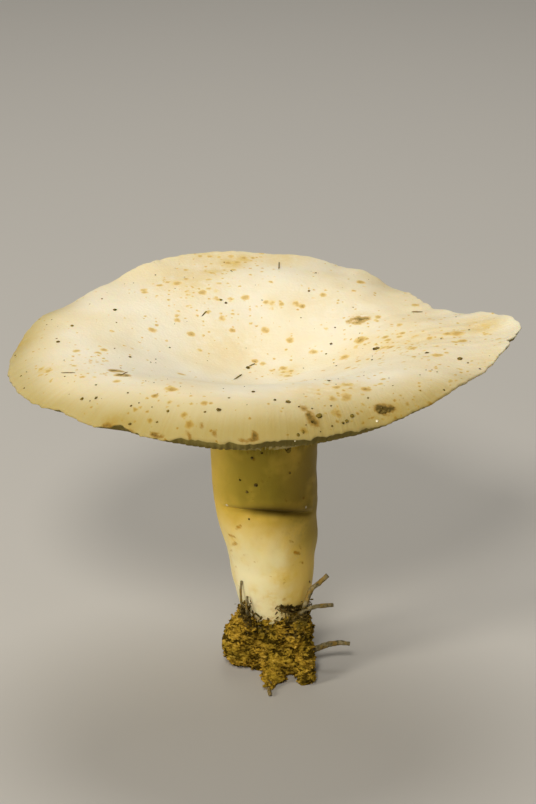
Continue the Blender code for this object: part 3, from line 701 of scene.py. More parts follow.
def make_cap_finish():
    material, tree, shader = new_finish("cap_skin", 0.5, subsurface=0.2)
    place = millimetres(tree)
    x, y, _ = axes_of(tree, place)
    out = attribute_of(tree, "out")
    cloud = grain_of(tree, place, 24, detail=3)
    mottle = grain_of(tree, place, 2.2, detail=4, roughness=0.65)
    fibres = grain_of(tree, round_the_stem(tree, place, 55, 16), 1.0, detail=3)
    ridges = grain_of(tree, round_the_stem(tree, place, 95, 12), 1.0, detail=1)
    creased = times(tree, mapped(tree, out, 0.80, 0.96), mapped(tree, y, 30, -10, 0.25, 1.0))

    ragged = plus(tree, out, times(tree, minus(tree, cloud, 0.5), 0.12))
    # Painted shade: the band outside the lip is duller and yellower towards the front and left, partly the
    # margin's own yellowing.
    front = plus(tree, mapped(tree, y, -14, -46, 0.10, 1.0), mapped(tree, x, -40, -57, 0.0, 0.6))
    skin = layered(
        tree,
        CREAM,
        (mapped(tree, cloud, 0.35, 0.62), PALE_CREAM),
        (times(tree, mapped(tree, ragged, 0.72, 0.88), front), HALF_SHADED_BAND),
        (times(tree, mapped(tree, ragged, 0.86, 0.99), front), SHADED_BAND),
    )

    # Two noises break up each stain's edge, and one field gives its halo, its brown and its dark middle.
    lobes = grain_of(tree, place, 3.2, detail=2)
    uneven = times(tree, minus(tree, plus(tree, mottle, times(tree, lobes, 0.9)), 0.95), 1.6)
    stain = attribute_of(tree, "stain")
    thick = attribute_of(tree, "freckled")
    field = plus(tree, stain, times(tree, uneven, mapped(tree, stain, 0.0, 0.3)))
    freckles = [freckle_field(tree, place, size, thick, rarity) for size, rarity in FRECKLE_KINDS]
    field = most(tree, field, *freckles)
    mark = attribute_of(tree, "olive")
    olive = plus(tree, mark, times(tree, uneven, mapped(tree, mark, 0.0, 0.3, 0.0, 1.1)))
    tint = layered(
        tree,
        UNTINTED,
        (times(tree, mapped(tree, fibres, 0.35, 0.7), creased, 0.18), TAN_TINT),
        (times(tree, attribute_of(tree, "tan"), mapped(tree, mottle, 0.2, 0.6)), TAN_TINT),
        (mapped(tree, field, 0.02, 0.40, 0.0, 0.9), HALO_TINT),
        (mapped(tree, field, 0.25, 0.80, 0.0, 0.85), STAIN_TINT),
        (mapped(tree, field, 0.80, 1.20, 0.0, 0.8), MIDDLE_TINT),
        (mapped(tree, olive, 0.0, 0.40, 0.0, 0.9), STAIN_TINT),
        (mapped(tree, olive, 0.30, 0.85), OLIVE_TINT),
    )
    tree.links.new(layered(tree, skin, (1.0, tint), mode="MULTIPLY"), shader.inputs["Base Color"])

    grain = grain_of(tree, place, 0.7, detail=3)
    relief = plus(tree, times(tree, ridges, creased, 0.4), times(tree, grain, 0.45))
    set_relief(tree, shader, relief, 0.2)
    return material


def make_gill_finish():
    material, tree, shader = new_finish("gill_flesh", 0.7, subsurface=0.15, gloss=0.04)
    place = millimetres(tree)
    out = attribute_of(tree, "out")
    fibres = grain_of(tree, round_the_stem(tree, place, 40, 6), 1.0, detail=3)
    blotch = grain_of(tree, place, 6, detail=3)
    throat = mapped(tree, out, 0.46, 0.27)
    right = mapped(tree, axes_of(tree, place)[0], 1, 11, 0.0, 0.85)
    colour = layered(tree, GILL_CREAM, (mapped(tree, fibres, 0.3, 0.7, 0.0, 0.6), GILL_DEEP))
    colour = layered(tree, colour, (mapped(tree, blotch, 0.6, 0.75, 0.0, 0.6), TAN_TINT), mode="MULTIPLY")
    colour = layered(
        tree,
        colour,
        # Painted shade under the cap's margin, darkening the gills' outer ends.
        (mapped(tree, out, 0.70, 0.90, 0.0, 0.9), GILL_MARGIN_PAINTED_SHADE),
        # Near the stem the gills take the stem's ochre, painted shade from the cap, and its painted shade on
        # the right.
        (times(tree, throat, 0.85), SHADED_STEM_OCHRE),
        (times(tree, throat, right), STEM_PAINTED_SHADE),
    )
    tree.links.new(colour, shader.inputs["Base Color"])
    set_relief(tree, shader, fibres, 0.15)
    return material


def make_stem_finish():
    material, tree, shader = new_finish("stem_skin", 0.5, subsurface=0.2, gloss=0.08)
    place = millimetres(tree)
    side, _, height = axes_of(tree, place)
    fibres = grain_of(tree, round_the_stem(tree, place, 12, 9), 1.0, detail=4)
    cloud = grain_of(tree, place, 8, detail=3)
    mottle = grain_of(tree, place, 1.5, detail=3, roughness=0.6)
    uneven = times(tree, minus(tree, cloud, 0.5), 12)
    ragged = plus(tree, height, uneven)
    turned = plus(tree, side, times(tree, uneven, 0.5))
    # Painted highlight: paler where the front light falls, low on the stem and towards its left.
    painted_highlight = times(tree, mapped(tree, ragged, 34, 25), mapped(tree, side, 5, -3, 0.0, 0.6))
    painted_light_high_left = times(tree, mapped(tree, turned, -4, -11), mapped(tree, height, 36, 44))
    painted_shade_high = times(tree, mapped(tree, side, 1, 11), mapped(tree, height, 34, 42))
    painted_shade_low = times(tree, mapped(tree, side, 4, 11, 0.0, 0.75), mapped(tree, height, 25, 36))
    colour = layered(
        tree,
        STEM_CREAM,
        (painted_highlight, STEM_PAINTED_HIGHLIGHT),
        # Gold, then ochre going up under the cap: painted shade from the cap, partly the stem's own
        # yellowing.
        (mapped(tree, ragged, 30, 44), STEM_GOLD_TINT_AND_SHADE),
        (mapped(tree, ragged, 40, 48), SHADED_STEM_OCHRE),
        # Gold on the right and at the left edge: painted shade, partly the stem's own tint.
        (mapped(tree, turned, 2, 10, 0.0, 0.85), STEM_GOLD_TINT_AND_SHADE),
        (mapped(tree, turned, -8, -12, 0.0, 0.4), STEM_GOLD_TINT_AND_SHADE),
        # Painted light: the ochre is lifted high on the left, where the left light reaches under the cap.
        (times(tree, painted_light_high_left, 0.4), STEM_GOLD_TINT_AND_SHADE),
        # Painted shade on the stem's right, above and below the fold.
        (times(tree, most(tree, painted_shade_high, painted_shade_low), 0.85), STEM_PAINTED_SHADE),
        (mapped(tree, cloud, 0.52, 0.7, 0.0, 0.35), STEM_GOLD_TINT_AND_SHADE),
        (times(tree, attribute_of(tree, "tint"), mapped(tree, mottle, 0.3, 0.62), 0.8), STEM_GOLD_TINT_AND_SHADE),
    )
    spots = times(tree, mapped(tree, mottle, 0.64, 0.72), mapped(tree, cloud, 0.45, 0.6), 0.5)
    bruise = plus(tree, attribute_of(tree, "bruise"), times(tree, mottle, 0.8))
    earthy = times(tree, mapped(tree, ragged, 21, 13), mapped(tree, mottle, 0.5, 0.62), 0.5)
    browned = [(spots, BRUISE_TINT), (mapped(tree, bruise, 0.6, 1.2), BRUISE_TINT), (earthy, BRUISE_TINT)]
    colour = layered(tree, colour, *browned, mode="MULTIPLY")
    # Painted shade along the fold.
    colour = layered(tree, colour, (mapped(tree, attribute_of(tree, "fold"), 0.1, 1.0), FOLD_PAINTED_SHADE))
    tree.links.new(colour, shader.inputs["Base Color"])
    set_relief(tree, shader, plus(tree, times(tree, fibres, 0.2), times(tree, mottle, 0.5)), 0.16)
    return material


for finish in (make_cap_finish(), make_gill_finish(), make_stem_finish()):
    mushroom.data.materials.append(finish)
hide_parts("mushroom")
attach(mushroom, "root")


# The soil clump. Golden loam that came up with the stem: lumps pressed into one another, open and crumbly
# on the outside, flat where it stands. It is fused from the same lumps as the solid and roughened finely.
LUMPS = [  # centre, half sizes
    ((2.4, 0.2, 6.6), (8.9, 8.9, 8.6)), ((3.6, -2.4, 4.0), (7.2, 7.0, 5.6)),
    ((-5.4, -2.4, 5.8), (4.5, 5.6, 5.9)), ((-3.6, 3.4, 2.8), (5.8, 6.2, 4.6)),
    ((6.6, 2.0, 5.6), (4.0, 5.4, 5.4)), ((2.4, 0.8, 1.2), (8.8, 8.6, 3.2)),
    ((5.8, -6.9, 2.5), (3.8, 3.2, 3.2)), ((9.4, -6.6, 6.6), (2.0, 2.4, 2.8)),
    ((9.9, -9.4, 4.2), (2.0, 2.4, 2.7)), ((10.1, -12.4, 1.6), (1.9, 2.5, 2.3)),
    ((2.0, -8.4, 1.9), (2.4, 2.4, 2.5)), ((1.2, -10.9, 1.2), (1.5, 2.2, 1.7)),
    ((3.1, -11.8, 1.3), (1.7, 2.3, 1.7)), ((5.0, -6.9, 12.6), (2.4, 1.7, 2.7)),
    ((7.6, -6.2, 13.0), (2.3, 1.8, 3.0)), ((9.4, -7.0, 11.2), (1.5, 1.4, 4.0)),
    ((7.5, -8.2, 10.8), (1.5, 1.4, 3.8)), ((-4.7, -6.5, 11.8), (1.2, 1.2, 3.8)),
    ((-3.3, -7.8, 11.4), (1.3, 1.2, 3.6)),
]
SHADED_SOIL_HOLLOWS = [  # painted shade in dark pockets: x and y in the photograph, width there, strength
    (262, 629, 18, 1.0), (274, 633, 10, 0.8), (298, 634, 18, 1.0), (288, 640, 10, 0.7), (247, 648, 16, 0.9),
    (235, 656, 14, 0.9), (251, 660, 12, 0.8), (268, 652, 8, 0.6), (311, 627, 9, 0.9), (303, 655, 12, 0.7),
    (284, 668, 12, 0.6), (228, 640, 8, 0.6), (243, 636, 9, 0.6), (296, 620, 9, 0.6), (316, 645, 8, 0.6),
    (272, 664, 9, 0.5), (308, 672, 8, 0.5), (259, 645, 8, 0.5), (290, 651, 8, 0.5),
]
CRUMB_RINGS = [  # height, distance from the stem's axis, number of clods, smallest and largest half width
    (8.6, 7.4, 12, 1.8, 2.4), (12.2, 6.9, 14, 1.1, 1.6),
]
CRUMB_RING_SHIFT = 0.2
CRUMB_HEIGHT_SPREAD = 0.9
CRUMB_TALLNESS = 1.2
CRUMB_SEED = 7
SOIL_VOXEL = 0.38
SOIL_CLODS = (2.4, 1.8)  # size and height, here and in the two lines below
SOIL_GRAINS = (1.3, 0.8)
SOIL_FINE = [(1.5, 0.55), (0.75, 0.35)]
SOIL_FINE_MIDDLE = 0.35  # the noise that neither raises nor sinks the face
SOIL_STREAK = 0.45  # height of a feature as a share of its width: the crumbs lie in flat layers
SOIL_PALE = (0.84, 0.60, 0.14)
SOIL_GOLD = (0.66, 0.41, 0.045)
SOIL_OCHRE = (0.28, 0.165, 0.016)
SOIL_DARK = (0.04, 0.026, 0.004)
SOIL_OLIVE = (0.38, 0.27, 0.022)


def add_lump(mesh, centre, half_sizes, subdivisions=4):
    made = bmesh.ops.create_icosphere(mesh, subdivisions=subdivisions, radius=MM)["verts"]
    bmesh.ops.scale(mesh, verts=made, vec=half_sizes)
    bmesh.ops.translate(mesh, verts=made, vec=Vector(centre) * MM)
    return made


def roughen(obj, name, size, depth):
    """Raises and sinks a surface by a cloudy noise with features of that size, as much as depth in all."""
    texture = bpy.data.textures.new(name, "CLOUDS")
    texture.noise_scale = size * MM
    rough = obj.modifiers.new(name, "DISPLACE")
    rough.texture = texture
    rough.texture_coords = "LOCAL"
    rough.strength = depth * MM


def crumble(point):
    """How far the soil's face stands out at a point, in millimetres: ragged, in flat layers."""
    flat = Vector((point.x, point.y, point.z / SOIL_STREAK))
    layers = ((depth, abs(noise.noise(flat / (size * MM)))) for size, depth in SOIL_FINE)
    return sum(2 * depth * (SOIL_FINE_MIDDLE - height) for depth, height in layers)


def keep_largest_part(mesh):
    """Drops the loose flecks that a cut leaves beside the main body."""
    parts, unseen = [], set(mesh.verts)
    while unseen:
        part, front = set(), {next(iter(unseen))}
        while front:
            part |= front
            front = {edge.other_vert(vertex) for vertex in front for edge in vertex.link_edges} - part
        unseen -= part
        parts.append(part)
    largest = max(parts, key=len)
    bmesh.ops.delete(mesh, geom=[vertex for vertex in mesh.verts if vertex not in largest], context="VERTS")


def make_clump():
    draw = random.Random(CRUMB_SEED)
    mesh = bmesh.new()
    for centre, half_sizes in LUMPS:
        add_lump(mesh, centre, half_sizes)
    foot_shift = STEM[0][1] - CRUMB_RING_SHIFT
    for height, distance, count, *half_widths in CRUMB_RINGS:
        for i in range(count):
            turn = math.tau * (i + draw.uniform(-0.25, 0.25)) / count
            size = draw.uniform(*half_widths)
            rise = draw.uniform(-CRUMB_HEIGHT_SPREAD, CRUMB_HEIGHT_SPREAD)
            centre = (foot_shift + distance * math.cos(turn), distance * math.sin(turn), height + rise)
            add_lump(mesh, centre, (size, size, size * CRUMB_TALLNESS))
    rough_clump = finish_object(mesh, "rough_clump")
    roughen(rough_clump, "clods", *SOIL_CLODS)
    roughen(rough_clump, "grains", *SOIL_GRAINS)
    fused = rough_clump.modifiers.new("fused", "REMESH")
    fused.mode = "VOXEL"
    fused.voxel_size = SOIL_VOXEL * MM
    bpy.context.view_layer.update()
    mesh = bmesh.new()
    mesh.from_object(rough_clump, bpy.context.evaluated_depsgraph_get())
    bpy.data.objects.remove(rough_clump)
    mesh.normal_update()
    # Where the face sinks it is marked to be painted dark: painted shade in the pits.
    pit_shade = mesh.verts.layers.float.new("pit_shade")
    rises = [(vertex, crumble(vertex.co)) for vertex in mesh.verts]
    for vertex, rise in rises:
        vertex[pit_shade] = ramp(-rise, -0.1, 0.55)
    for vertex, move in [(vertex, vertex.normal * rise * MM) for vertex, rise in rises]:
        vertex.co += move
    whole = [*mesh.verts, *mesh.edges, *mesh.faces]
    cut = bmesh.ops.bisect_plane(mesh, geom=whole, plane_co=(0, 0, 0), plane_no=(0, 0, -1), clear_outer=True)
    outline = [part for part in cut["geom_cut"] if isinstance(part, bmesh.types.BMEdge)]
    bmesh.ops.contextual_create(mesh, geom=outline)
    keep_largest_part(mesh)
    return mesh


clump_mesh = make_clump()
clump_mesh.normal_update()
clump_tree = BVHTree.FromBMesh(clump_mesh)
clump = finish_object(clump_mesh, "soil_loam")
shaded_soil_hollows = seen_places(SHADED_SOIL_HOLLOWS, reach=0.66, surface=clump_tree)
spread(clump, "hollow", shaded_soil_hollows, power=0.6)


def make_soil_finish(name, pale, light, middle, dark):
    material, tree, shader = new_finish(name, 0.95, gloss=0.0)
    place = millimetres(tree)
    flat = of_vectors("MULTIPLY", tree, place, (1, 1, 1 / SOIL_STREAK))
    crumbs = grain_of(tree, flat, 1.3, detail=5, roughness=0.72)
    patches = grain_of(tree, flat, 4, detail=2)
    mixed = plus(tree, times(tree, crumbs, 0.55), times(tree, patches, 0.45))
    # Painted shade: the soil is darkened in its pockets.
    hollow = times(tree, attribute_of(tree, "hollow"), mapped(tree, crumbs, 0.66, 0.4))
    colour = layered(
        tree,
        middle,
        (mapped(tree, crumbs, 0.42, 0.58), light),
        (mapped(tree, crumbs, 0.58, 0.68), pale),
        (mapped(tree, grain_of(tree, place, 6, detail=2), 0.48, 0.6, 0.0, 0.4), SOIL_OLIVE),
        (mapped(tree, mixed, 0.51, 0.43, 0.0, 0.9), dark),
        # Painted shade in the pits and pockets.
        (times(tree, most(tree, attribute_of(tree, "pit_shade"), hollow), 0.95), dark),
    )
    tree.links.new(colour, shader.inputs["Base Color"])
    set_relief(tree, shader, grain_of(tree, flat, 0.35, detail=4, roughness=0.7), 0.35)
    return material


clump.data.materials.append(make_soil_finish("loam", SOIL_PALE, SOIL_GOLD, SOIL_OCHRE, SOIL_DARK))
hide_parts("soil_clump")
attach(clump, "root")


# Loose crumbs of the same loam that cling to the clump, and dark shreds of leaf mould that ring the stem
# where it leaves the soil, thickest at the right and at the left.
LOAM_CRUMBS = 1000
CRUMB_SIZES = (0.15, 0.62)
FRONT_COAT = ((1.2, -11.6, 1.2), (1.35, -17.6, 0.9))  # the run of the front rootlet that soil cakes
FRONT_COAT_CRUMBS = 90
COAT_SPREAD = (0.55, 0.35)
COAT_SIZES = (0.3, 0.8)
SHREDS = 70
MOULD_PATCHES = [  # x and y in the photograph, spread across and down there, number of shreds
    (293, 609, 7, 2, 110), (305, 607, 4, 4, 60), (283, 607, 3, 2, 24), (246, 607, 3, 4, 40),
    (262, 630, 8, 3, 26), (298, 634, 7, 3, 26), (313, 594, 1.5, 5, 10), (252, 617, 5, 3, 14),
    (308, 617, 4, 4, 14),
]
MOULD_TUFTS = [  # middle, spread, number of shreds: where it hides the feet of the rootlets
    ((9.3, -8.3, 14.6), (0.8, 0.4, 1.4), 70), ((7.6, -9.2, 14.8), (1.0, 0.4, 1.1), 70),
    ((-4.9, -7.6, 15.6), (0.7, 0.4, 1.6), 34), ((-3.7, -8.9, 15.2), (0.7, 0.4, 1.2), 30),
]
SHRED_SIZES = (0.3, 1.0)
SHRED_SHAPE = Vector((1, 0.35, 0.2))
SHRED_COLOURS = ((0.42, 0.30, 0.09), (0.22, 0.15, 0.04), (0.09, 0.062, 0.016), (0.03, 0.021, 0.006))
CORNER_PUSH = (0.7, 1.2)  # how far a crumb's corners are moved in or out
LEVEL_TILT = 0.3
CRUMB_BOX = (-10, -15, 0.5), (13, 10, 15)  # its corners: crumbs are drawn in it and moved to the clump
LOWEST_CRUMB = 0.4
MOULD_HEIGHTS = (12.5, 15.5)  # the ring of shreds round the stem, and how far out it reaches
MOULD_REACH = 1.2
MOULD_LIFT = 0.4


def add_crumb(mesh, draw, place, half_sizes, subdivisions=1, level=False):
    """An angular crumb: a lump with its corners pushed about, lying nearly level or turned at random."""
    made = bmesh.ops.create_icosphere(mesh, subdivisions=subdivisions, radius=1)["verts"]
    for vertex in made:
        vertex.co *= draw.uniform(*CORNER_PUSH)
    if level:
        lean = Vector((draw.gauss(0, LEVEL_TILT), draw.gauss(0, LEVEL_TILT), 1))
    else:
        lean = Vector([draw.gauss(0, 1) for _ in range(3)])
    turn = lean.to_track_quat("Z", "Y") @ Quaternion((0, 0, 1), draw.uniform(0, math.tau))
    for vertex in made:
        vertex.co = place + turn @ (vertex.co * half_sizes) * MM
    return made


def crumb_spots(draw, count):
    """Points spread over the clump's outside, with its normals, and none under it."""
    found = []
    while len(found) < count:
        start = Vector([draw.uniform(low, high) for low, high in zip(*CRUMB_BOX)]) * MM
        point, normal, _, _ = clump_tree.find_nearest(start)
        outside = (start - point).dot(normal) > 0
        sunk = any((point - middle).length < reach * 0.8 for middle, reach, _ in shaded_soil_hollows)
        if outside and not sunk and point.z > LOWEST_CRUMB * MM:
            found.append((point, normal))
    return found


crumb_draw = random.Random(23)
crumbs_mesh = bmesh.new()
for point, normal in crumb_spots(crumb_draw, LOAM_CRUMBS):
    size = crumb_draw.uniform(*CRUMB_SIZES)
    sizes = Vector((size, size * crumb_draw.uniform(0.5, 1), size * crumb_draw.uniform(0.3, 0.55)))
    add_crumb(crumbs_mesh, crumb_draw, point + normal * size * 0.1 * MM, sizes, level=True)
coat_start, coat_end = (Vector(end) for end in FRONT_COAT)
for _ in range(FRONT_COAT_CRUMBS):
    spot = coat_start.lerp(coat_end, crumb_draw.uniform(0, 1) ** 1.5)
    aside, above = (crumb_draw.gauss(0, extent) for extent in COAT_SPREAD)
    size = crumb_draw.uniform(*COAT_SIZES)
    sizes = Vector((size, size * 0.8, size * 0.6))
    add_crumb(crumbs_mesh, crumb_draw, (spot + Vector((aside, 0, above))) * MM, sizes)
for vertex in crumbs_mesh.verts:
    vertex.co.z = max(vertex.co.z, 0)
loam_crumbs = finish_object(crumbs_mesh, "loam_crumbs")
loam_crumbs.data.shade_flat()
loam_crumbs.data.materials.append(make_soil_finish("loam_crumb", SOIL_PALE, SOIL_GOLD, SOIL_OCHRE, SOIL_DARK))
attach(loam_crumbs, "root")


def add_shred(place):
    add_crumb(shreds_mesh, crumb_draw, place, SHRED_SHAPE * crumb_draw.uniform(*SHRED_SIZES))


shreds_mesh = bmesh.new()
for _ in range(SHREDS):
    azimuth, height = crumb_draw.uniform(0, 360), crumb_draw.uniform(*MOULD_HEIGHTS)
    centre, radius = between(STEM, height)
    add_shred(polar(azimuth, radius + crumb_draw.uniform(0, MOULD_REACH), height, centre))
for middle, extent, count in MOULD_TUFTS:
    for _ in range(count):
        add_shred(Vector([crumb_draw.gauss(at, half) for at, half in zip(middle, extent)]) * MM)
for x, y, across, down, count in MOULD_PATCHES:
    for _ in range(count):
        spot = crumb_draw.gauss(x, across), crumb_draw.gauss(y, down)
        hits = [place_in_photo(surface, *spot) for surface in (skin_tree, clump_tree)]
        seen = min((hit for hit in hits if hit[0]), key=lambda hit: (hit[0] - eye).length, default=None)
        if seen:
            add_shred(seen[0] + seen[1] * crumb_draw.uniform(0, MOULD_LIFT) * MM)
shreds = finish_object(shreds_mesh, "leaf_mould")
shreds.data.shade_flat()
shreds.data.materials.append(make_soil_finish("mould", *SHRED_COLOURS))
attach(shreds, "root")


# Rootlets and twigs. Thin woody fibres caught in the soil, grey-brown with paler streaks, each a
# swept tube with knots, its root standing in the clump.
ROOTLETS = {  # radius at its root and at its tip, points along it
    "twig_right_upper": (0.66, 0.56, [
        (9.2, -6.2, 9.0), (9.4, -6.7, 13.0), (9.7, -7.0, 17.2), (11.3, -6.5, 21.4), (13.0, -6.0, 22.8),
        (15.1, -5.4, 24.6),
    ]),
    "rootlet_right_middle": (0.5, 0.5, [
        (6.9, -7.4, 9.6), (7.5, -8.0, 13.4), (8.4, -8.6, 15.9), (10.2, -8.4, 17.1), (12.8, -7.4, 17.4),
        (16.4, -6.2, 17.2),
    ]),
    "rootlet_right_lower": (0.84, 0.52, [
        (9.7, -3.8, 3.4), (12.2, -3.4, 4.2), (14.6, -3.0, 5.0), (16.4, -3.0, 5.5), (18.6, -3.0, 5.7),
        (20.6, -3.0, 5.4),
    ]),
    "twig_left_upright": (0.33, 0.26, [
        (-4.4, -5.4, 8.5), (-4.9, -6.6, 14.0), (-5.4, -6.9, 18.0), (-5.6, -6.8, 21.0), (-5.4, -6.8, 23.7),
    ]),
    "twig_left_short": (0.35, 0.30, [
        (-2.6, -7.0, 9.5), (-3.6, -8.1, 14.2), (-4.2, -8.2, 17.4), (-4.0, -7.9, 20.2),
    ]),
    "rootlet_front": (0.6, 0.42, [
        (1.2, -8.6, 1.4), (1.2, -11.6, 1.2), (1.35, -14.4, 0.8), (1.1, -17.4, 0.64), (1.35, -20.6, 0.58),
    ]),
}
ROOTLET_STEPS = 40
ROOTLET_SIDES = 12
ROOTLET_KNOTS = [(0.22, 0.9), (0.16, 2.7)]  # how much the radius varies, and how often
BARK_PALE = (0.36, 0.30, 0.16)
BARK = (0.16, 0.125, 0.05)
BARK_DARK = (0.03, 0.024, 0.009)


def make_rootlet(name, points, root, tip):
    """A tube swept along a smooth run through the points: a disc extruded ring by ring, knotted by noise."""
    rows = [(i, *point) for i, point in enumerate(points)]
    run = [Vector(between(rows, (len(points) - 1) * i / ROOTLET_STEPS)) for i in range(ROOTLET_STEPS + 1)]
    mesh = bmesh.new()
    disc = bmesh.ops.create_circle(mesh, cap_ends=True, segments=ROOTLET_SIDES, radius=1)["verts"]
    face = disc[0].link_faces[0]
    flat = [vertex.co.copy() for vertex in face.verts]
    for i, point in enumerate(run):
        ahead = run[min(i + 1, ROOTLET_STEPS)] - run[max(i - 1, 0)]
        turn = ahead.to_track_quat("Z", "X")
        radius = root + (tip - root) * i / ROOTLET_STEPS
        for vertex, corner in zip(face.verts, flat):
            spot = point + turn @ (corner * radius)
            knot = 1 + sum(share * noise.noise(spot * pace) for share, pace in ROOTLET_KNOTS)
            vertex.co = (point + turn @ (corner * radius * knot)) * MM
        if i < ROOTLET_STEPS:
            made = bmesh.ops.extrude_face_region(mesh, geom=[face])["geom"]
            if i:
                bmesh.ops.delete(mesh, geom=[face], context="FACES_ONLY")
            face = next(part for part in made if isinstance(part, bmesh.types.BMFace))
    bmesh.ops.recalc_face_normals(mesh, faces=mesh.faces)
    return finish_object(mesh, name)


def make_bark_finish():
    material, tree, shader = new_finish("rootlet_bark", 0.8)
    place = millimetres(tree)
    x, _, height = axes_of(tree, place)
    streaks = grain_of(tree, place, 0.9, detail=4, roughness=0.65)
    earth = mapped(tree, grain_of(tree, place, 1.8, detail=3), 0.48, 0.58)
    low, clear = mapped(tree, height, 18.5, 15.5), mapped(tree, height, 7, 9)
    foot = times(tree, low, clear, mapped(tree, x, 11, 9.5, 0.0, 0.6))  # where the twigs stand in shade
    colour = layered(
        tree,
        BARK,
        (mapped(tree, streaks, 0.4, 0.65), BARK_PALE),
        (mapped(tree, streaks, 0.42, 0.33), BARK_DARK),
        (times(tree, earth, 0.7), SOIL_OCHRE),
        (foot, BARK_DARK),
    )
    tree.links.new(colour, shader.inputs["Base Color"])
    set_relief(tree, shader, grain_of(tree, place, 0.4, detail=3), 0.2)
    return material


bark = make_bark_finish()
for name, (root, tip, points) in ROOTLETS.items():
    rootlet = make_rootlet("bark_" + name, points, root, tip)
    rootlet.data.materials.append(bark)
    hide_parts(name)
    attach(rootlet, "root")


# Specks of earth. Grains of soil and bits of leaf mould stuck to the cap and the stem: those that the
# photograph shows, and a thin scatter of smaller ones all round.
SPECKS = [  # x and y in the photograph, width there
    (115, 310, 5), (72, 326, 5), (58, 342, 5), (130, 357, 4), (82, 399, 5), (96, 398, 4), (96, 385, 3),
    (128, 393, 3), (168, 411, 4), (219, 410, 6), (253, 392, 5), (248, 368, 6), (102, 299, 3), (130, 424, 4),
    (229, 398, 3), (90, 401, 2), (152, 407, 2), (139, 403, 2), (131, 406, 3), (205, 412, 3), (157, 422, 3),
    (21, 376, 3), (309, 291, 4), (331, 344, 4), (372, 360, 3), (427, 353, 5), (460, 359, 7), (468, 363, 3),
    (480, 369, 3), (469, 330, 3), (441, 339, 3), (329, 381, 4), (275, 400, 4), (288, 402, 6), (319, 416, 8),
    (352, 416, 5), (347, 421, 5), (343, 423, 4), (379, 411, 5), (384, 412, 5), (389, 411, 4), (382, 408, 3),
    (368, 398, 3), (444, 390, 3), (326, 354, 3), (332, 426, 3), (376, 349, 8), (303, 432, 4), (298, 435, 4),
    (288, 449, 10), (256, 485, 5), (247, 492, 4), (240, 480, 3), (252, 458, 4), (262, 453, 3),
    (290, 473, 3), (249, 519, 3), (288, 452, 3), (316, 273, 3), (221, 300, 4), (226, 303, 4), (426, 370, 2),
    (432, 370, 2), (437, 372, 2), (420, 375, 2), (312, 422, 3), (306, 425, 2),
]
STREAKS = [  # x, y, length across and up in the photograph: splinters that lie flat on the skin
    (68, 373, 14, 0), (279, 266, 1, 8), (238, 377, -8, -5), (204, 314, 5, 6), (124, 374, 8, 4),
    (417, 312, 12, 0), (382, 413, 8, 0), (252, 365, 6, 3),
]
SCATTERED_SPECKS = 90
ORIGIN = Vector((0, 0, 0))
SPECK_SHAPE = Vector((1, 0.8, 0.9))
SPECK_SUBDIVISIONS = 2
SPECK_FLATNESS = 0.5
SPECK_RISE, SPLINTER_RISE = 0.1, 0.06  # how far their middles stand off the skin
SPECK_SPREAD = 0.85  # a speck's own width as a share of its dark spot's in the photograph
SCATTERED_HALF_WIDTHS = (0.1, 0.14, 0.18, 0.24)
SPLINTER_HALF_SIZES = (0.16, 0.13)
SPECK_COLOURS = ((0.38, 0.28, 0.09), (0.26, 0.185, 0.05), (0.15, 0.105, 0.026), (0.06, 0.043, 0.01))

speck_draw = random.Random(5)
specks_mesh = bmesh.new()


def add_speck(point, normal, half_width):
    """A grain sunk by part of its depth into the skin."""
    made = add_crumb(specks_mesh, speck_draw, ORIGIN, SPECK_SHAPE * half_width, SPECK_SUBDIVISIONS)
    turn = normal.to_track_quat("Z", "Y")
    for vertex in made:
        local = vertex.co.copy()
        local.z *= SPECK_FLATNESS
        vertex.co = point + turn @ local + normal * half_width * SPECK_RISE * MM


def add_splinter(start, end, normal):
    """A thin sliver that lies along the skin from one point to another."""
    length = (end - start).length / MM
    half_sizes = Vector((*SPLINTER_HALF_SIZES, length / 2))
    made = add_crumb(specks_mesh, speck_draw, ORIGIN, half_sizes, SPECK_SUBDIVISIONS)
    middle = sum((vertex.co for vertex in made), Vector()) / len(made)
    along = max(made, key=lambda vertex: (vertex.co - middle).length).co - middle
    turn = along.rotation_difference(end - start)
    for vertex in made:
        vertex.co = (start + end) / 2 + turn @ (vertex.co - middle) + normal * SPLINTER_RISE * MM


for x, y, width in SPECKS:
    point, normal = place_in_photo(skin_tree, x, y)
    add_speck(point, normal, width / PIXELS_PER_MM / 2 * SPECK_SPREAD)
for x, y, across, up in STREAKS:
    start, normal = place_in_photo(skin_tree, x - across / 2, y + up / 2)
    end, _ = place_in_photo(skin_tree, x + across / 2, y - up / 2)
    add_splinter(start, end, normal)
placed = 0
while placed < SCATTERED_SPECKS:
    turn, reach = speck_draw.uniform(0, 360), math.sqrt(speck_draw.uniform(0.02, 0.98))
    start = polar(turn, rim_at(round(turn, 3))[0] * reach, 100)
    point, normal, _, _ = skin_tree.ray_cast(start, Vector((0, 0, -1)))
    if point:
        add_speck(point, normal, speck_draw.choice(SCATTERED_HALF_WIDTHS))
        placed += 1
specks = finish_object(specks_mesh, "earth_specks")
specks.data.materials.append(make_soil_finish("earth_speck", *SPECK_COLOURS))
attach(specks, "root")


# Beads of wet. They stand on the skin at the ends of the stem's fold and under the margin, each a low
# cloudy dome that catches the light with its gloss and whose pale colour is a painted highlight.
DEW = [(227, 505, 3.0), (306, 507, 2.6), (377, 421, 2.8), (295, 441, 1.6)]  # x, y and width in the photograph
DEW_HEIGHT = 0.6  # a bead's height as a share of its half width
DEW_PAINTED_GLINT, DEW_PAINTED_GLINT_YELLOW = (0.90, 0.84, 0.60), (0.80, 0.70, 0.38)

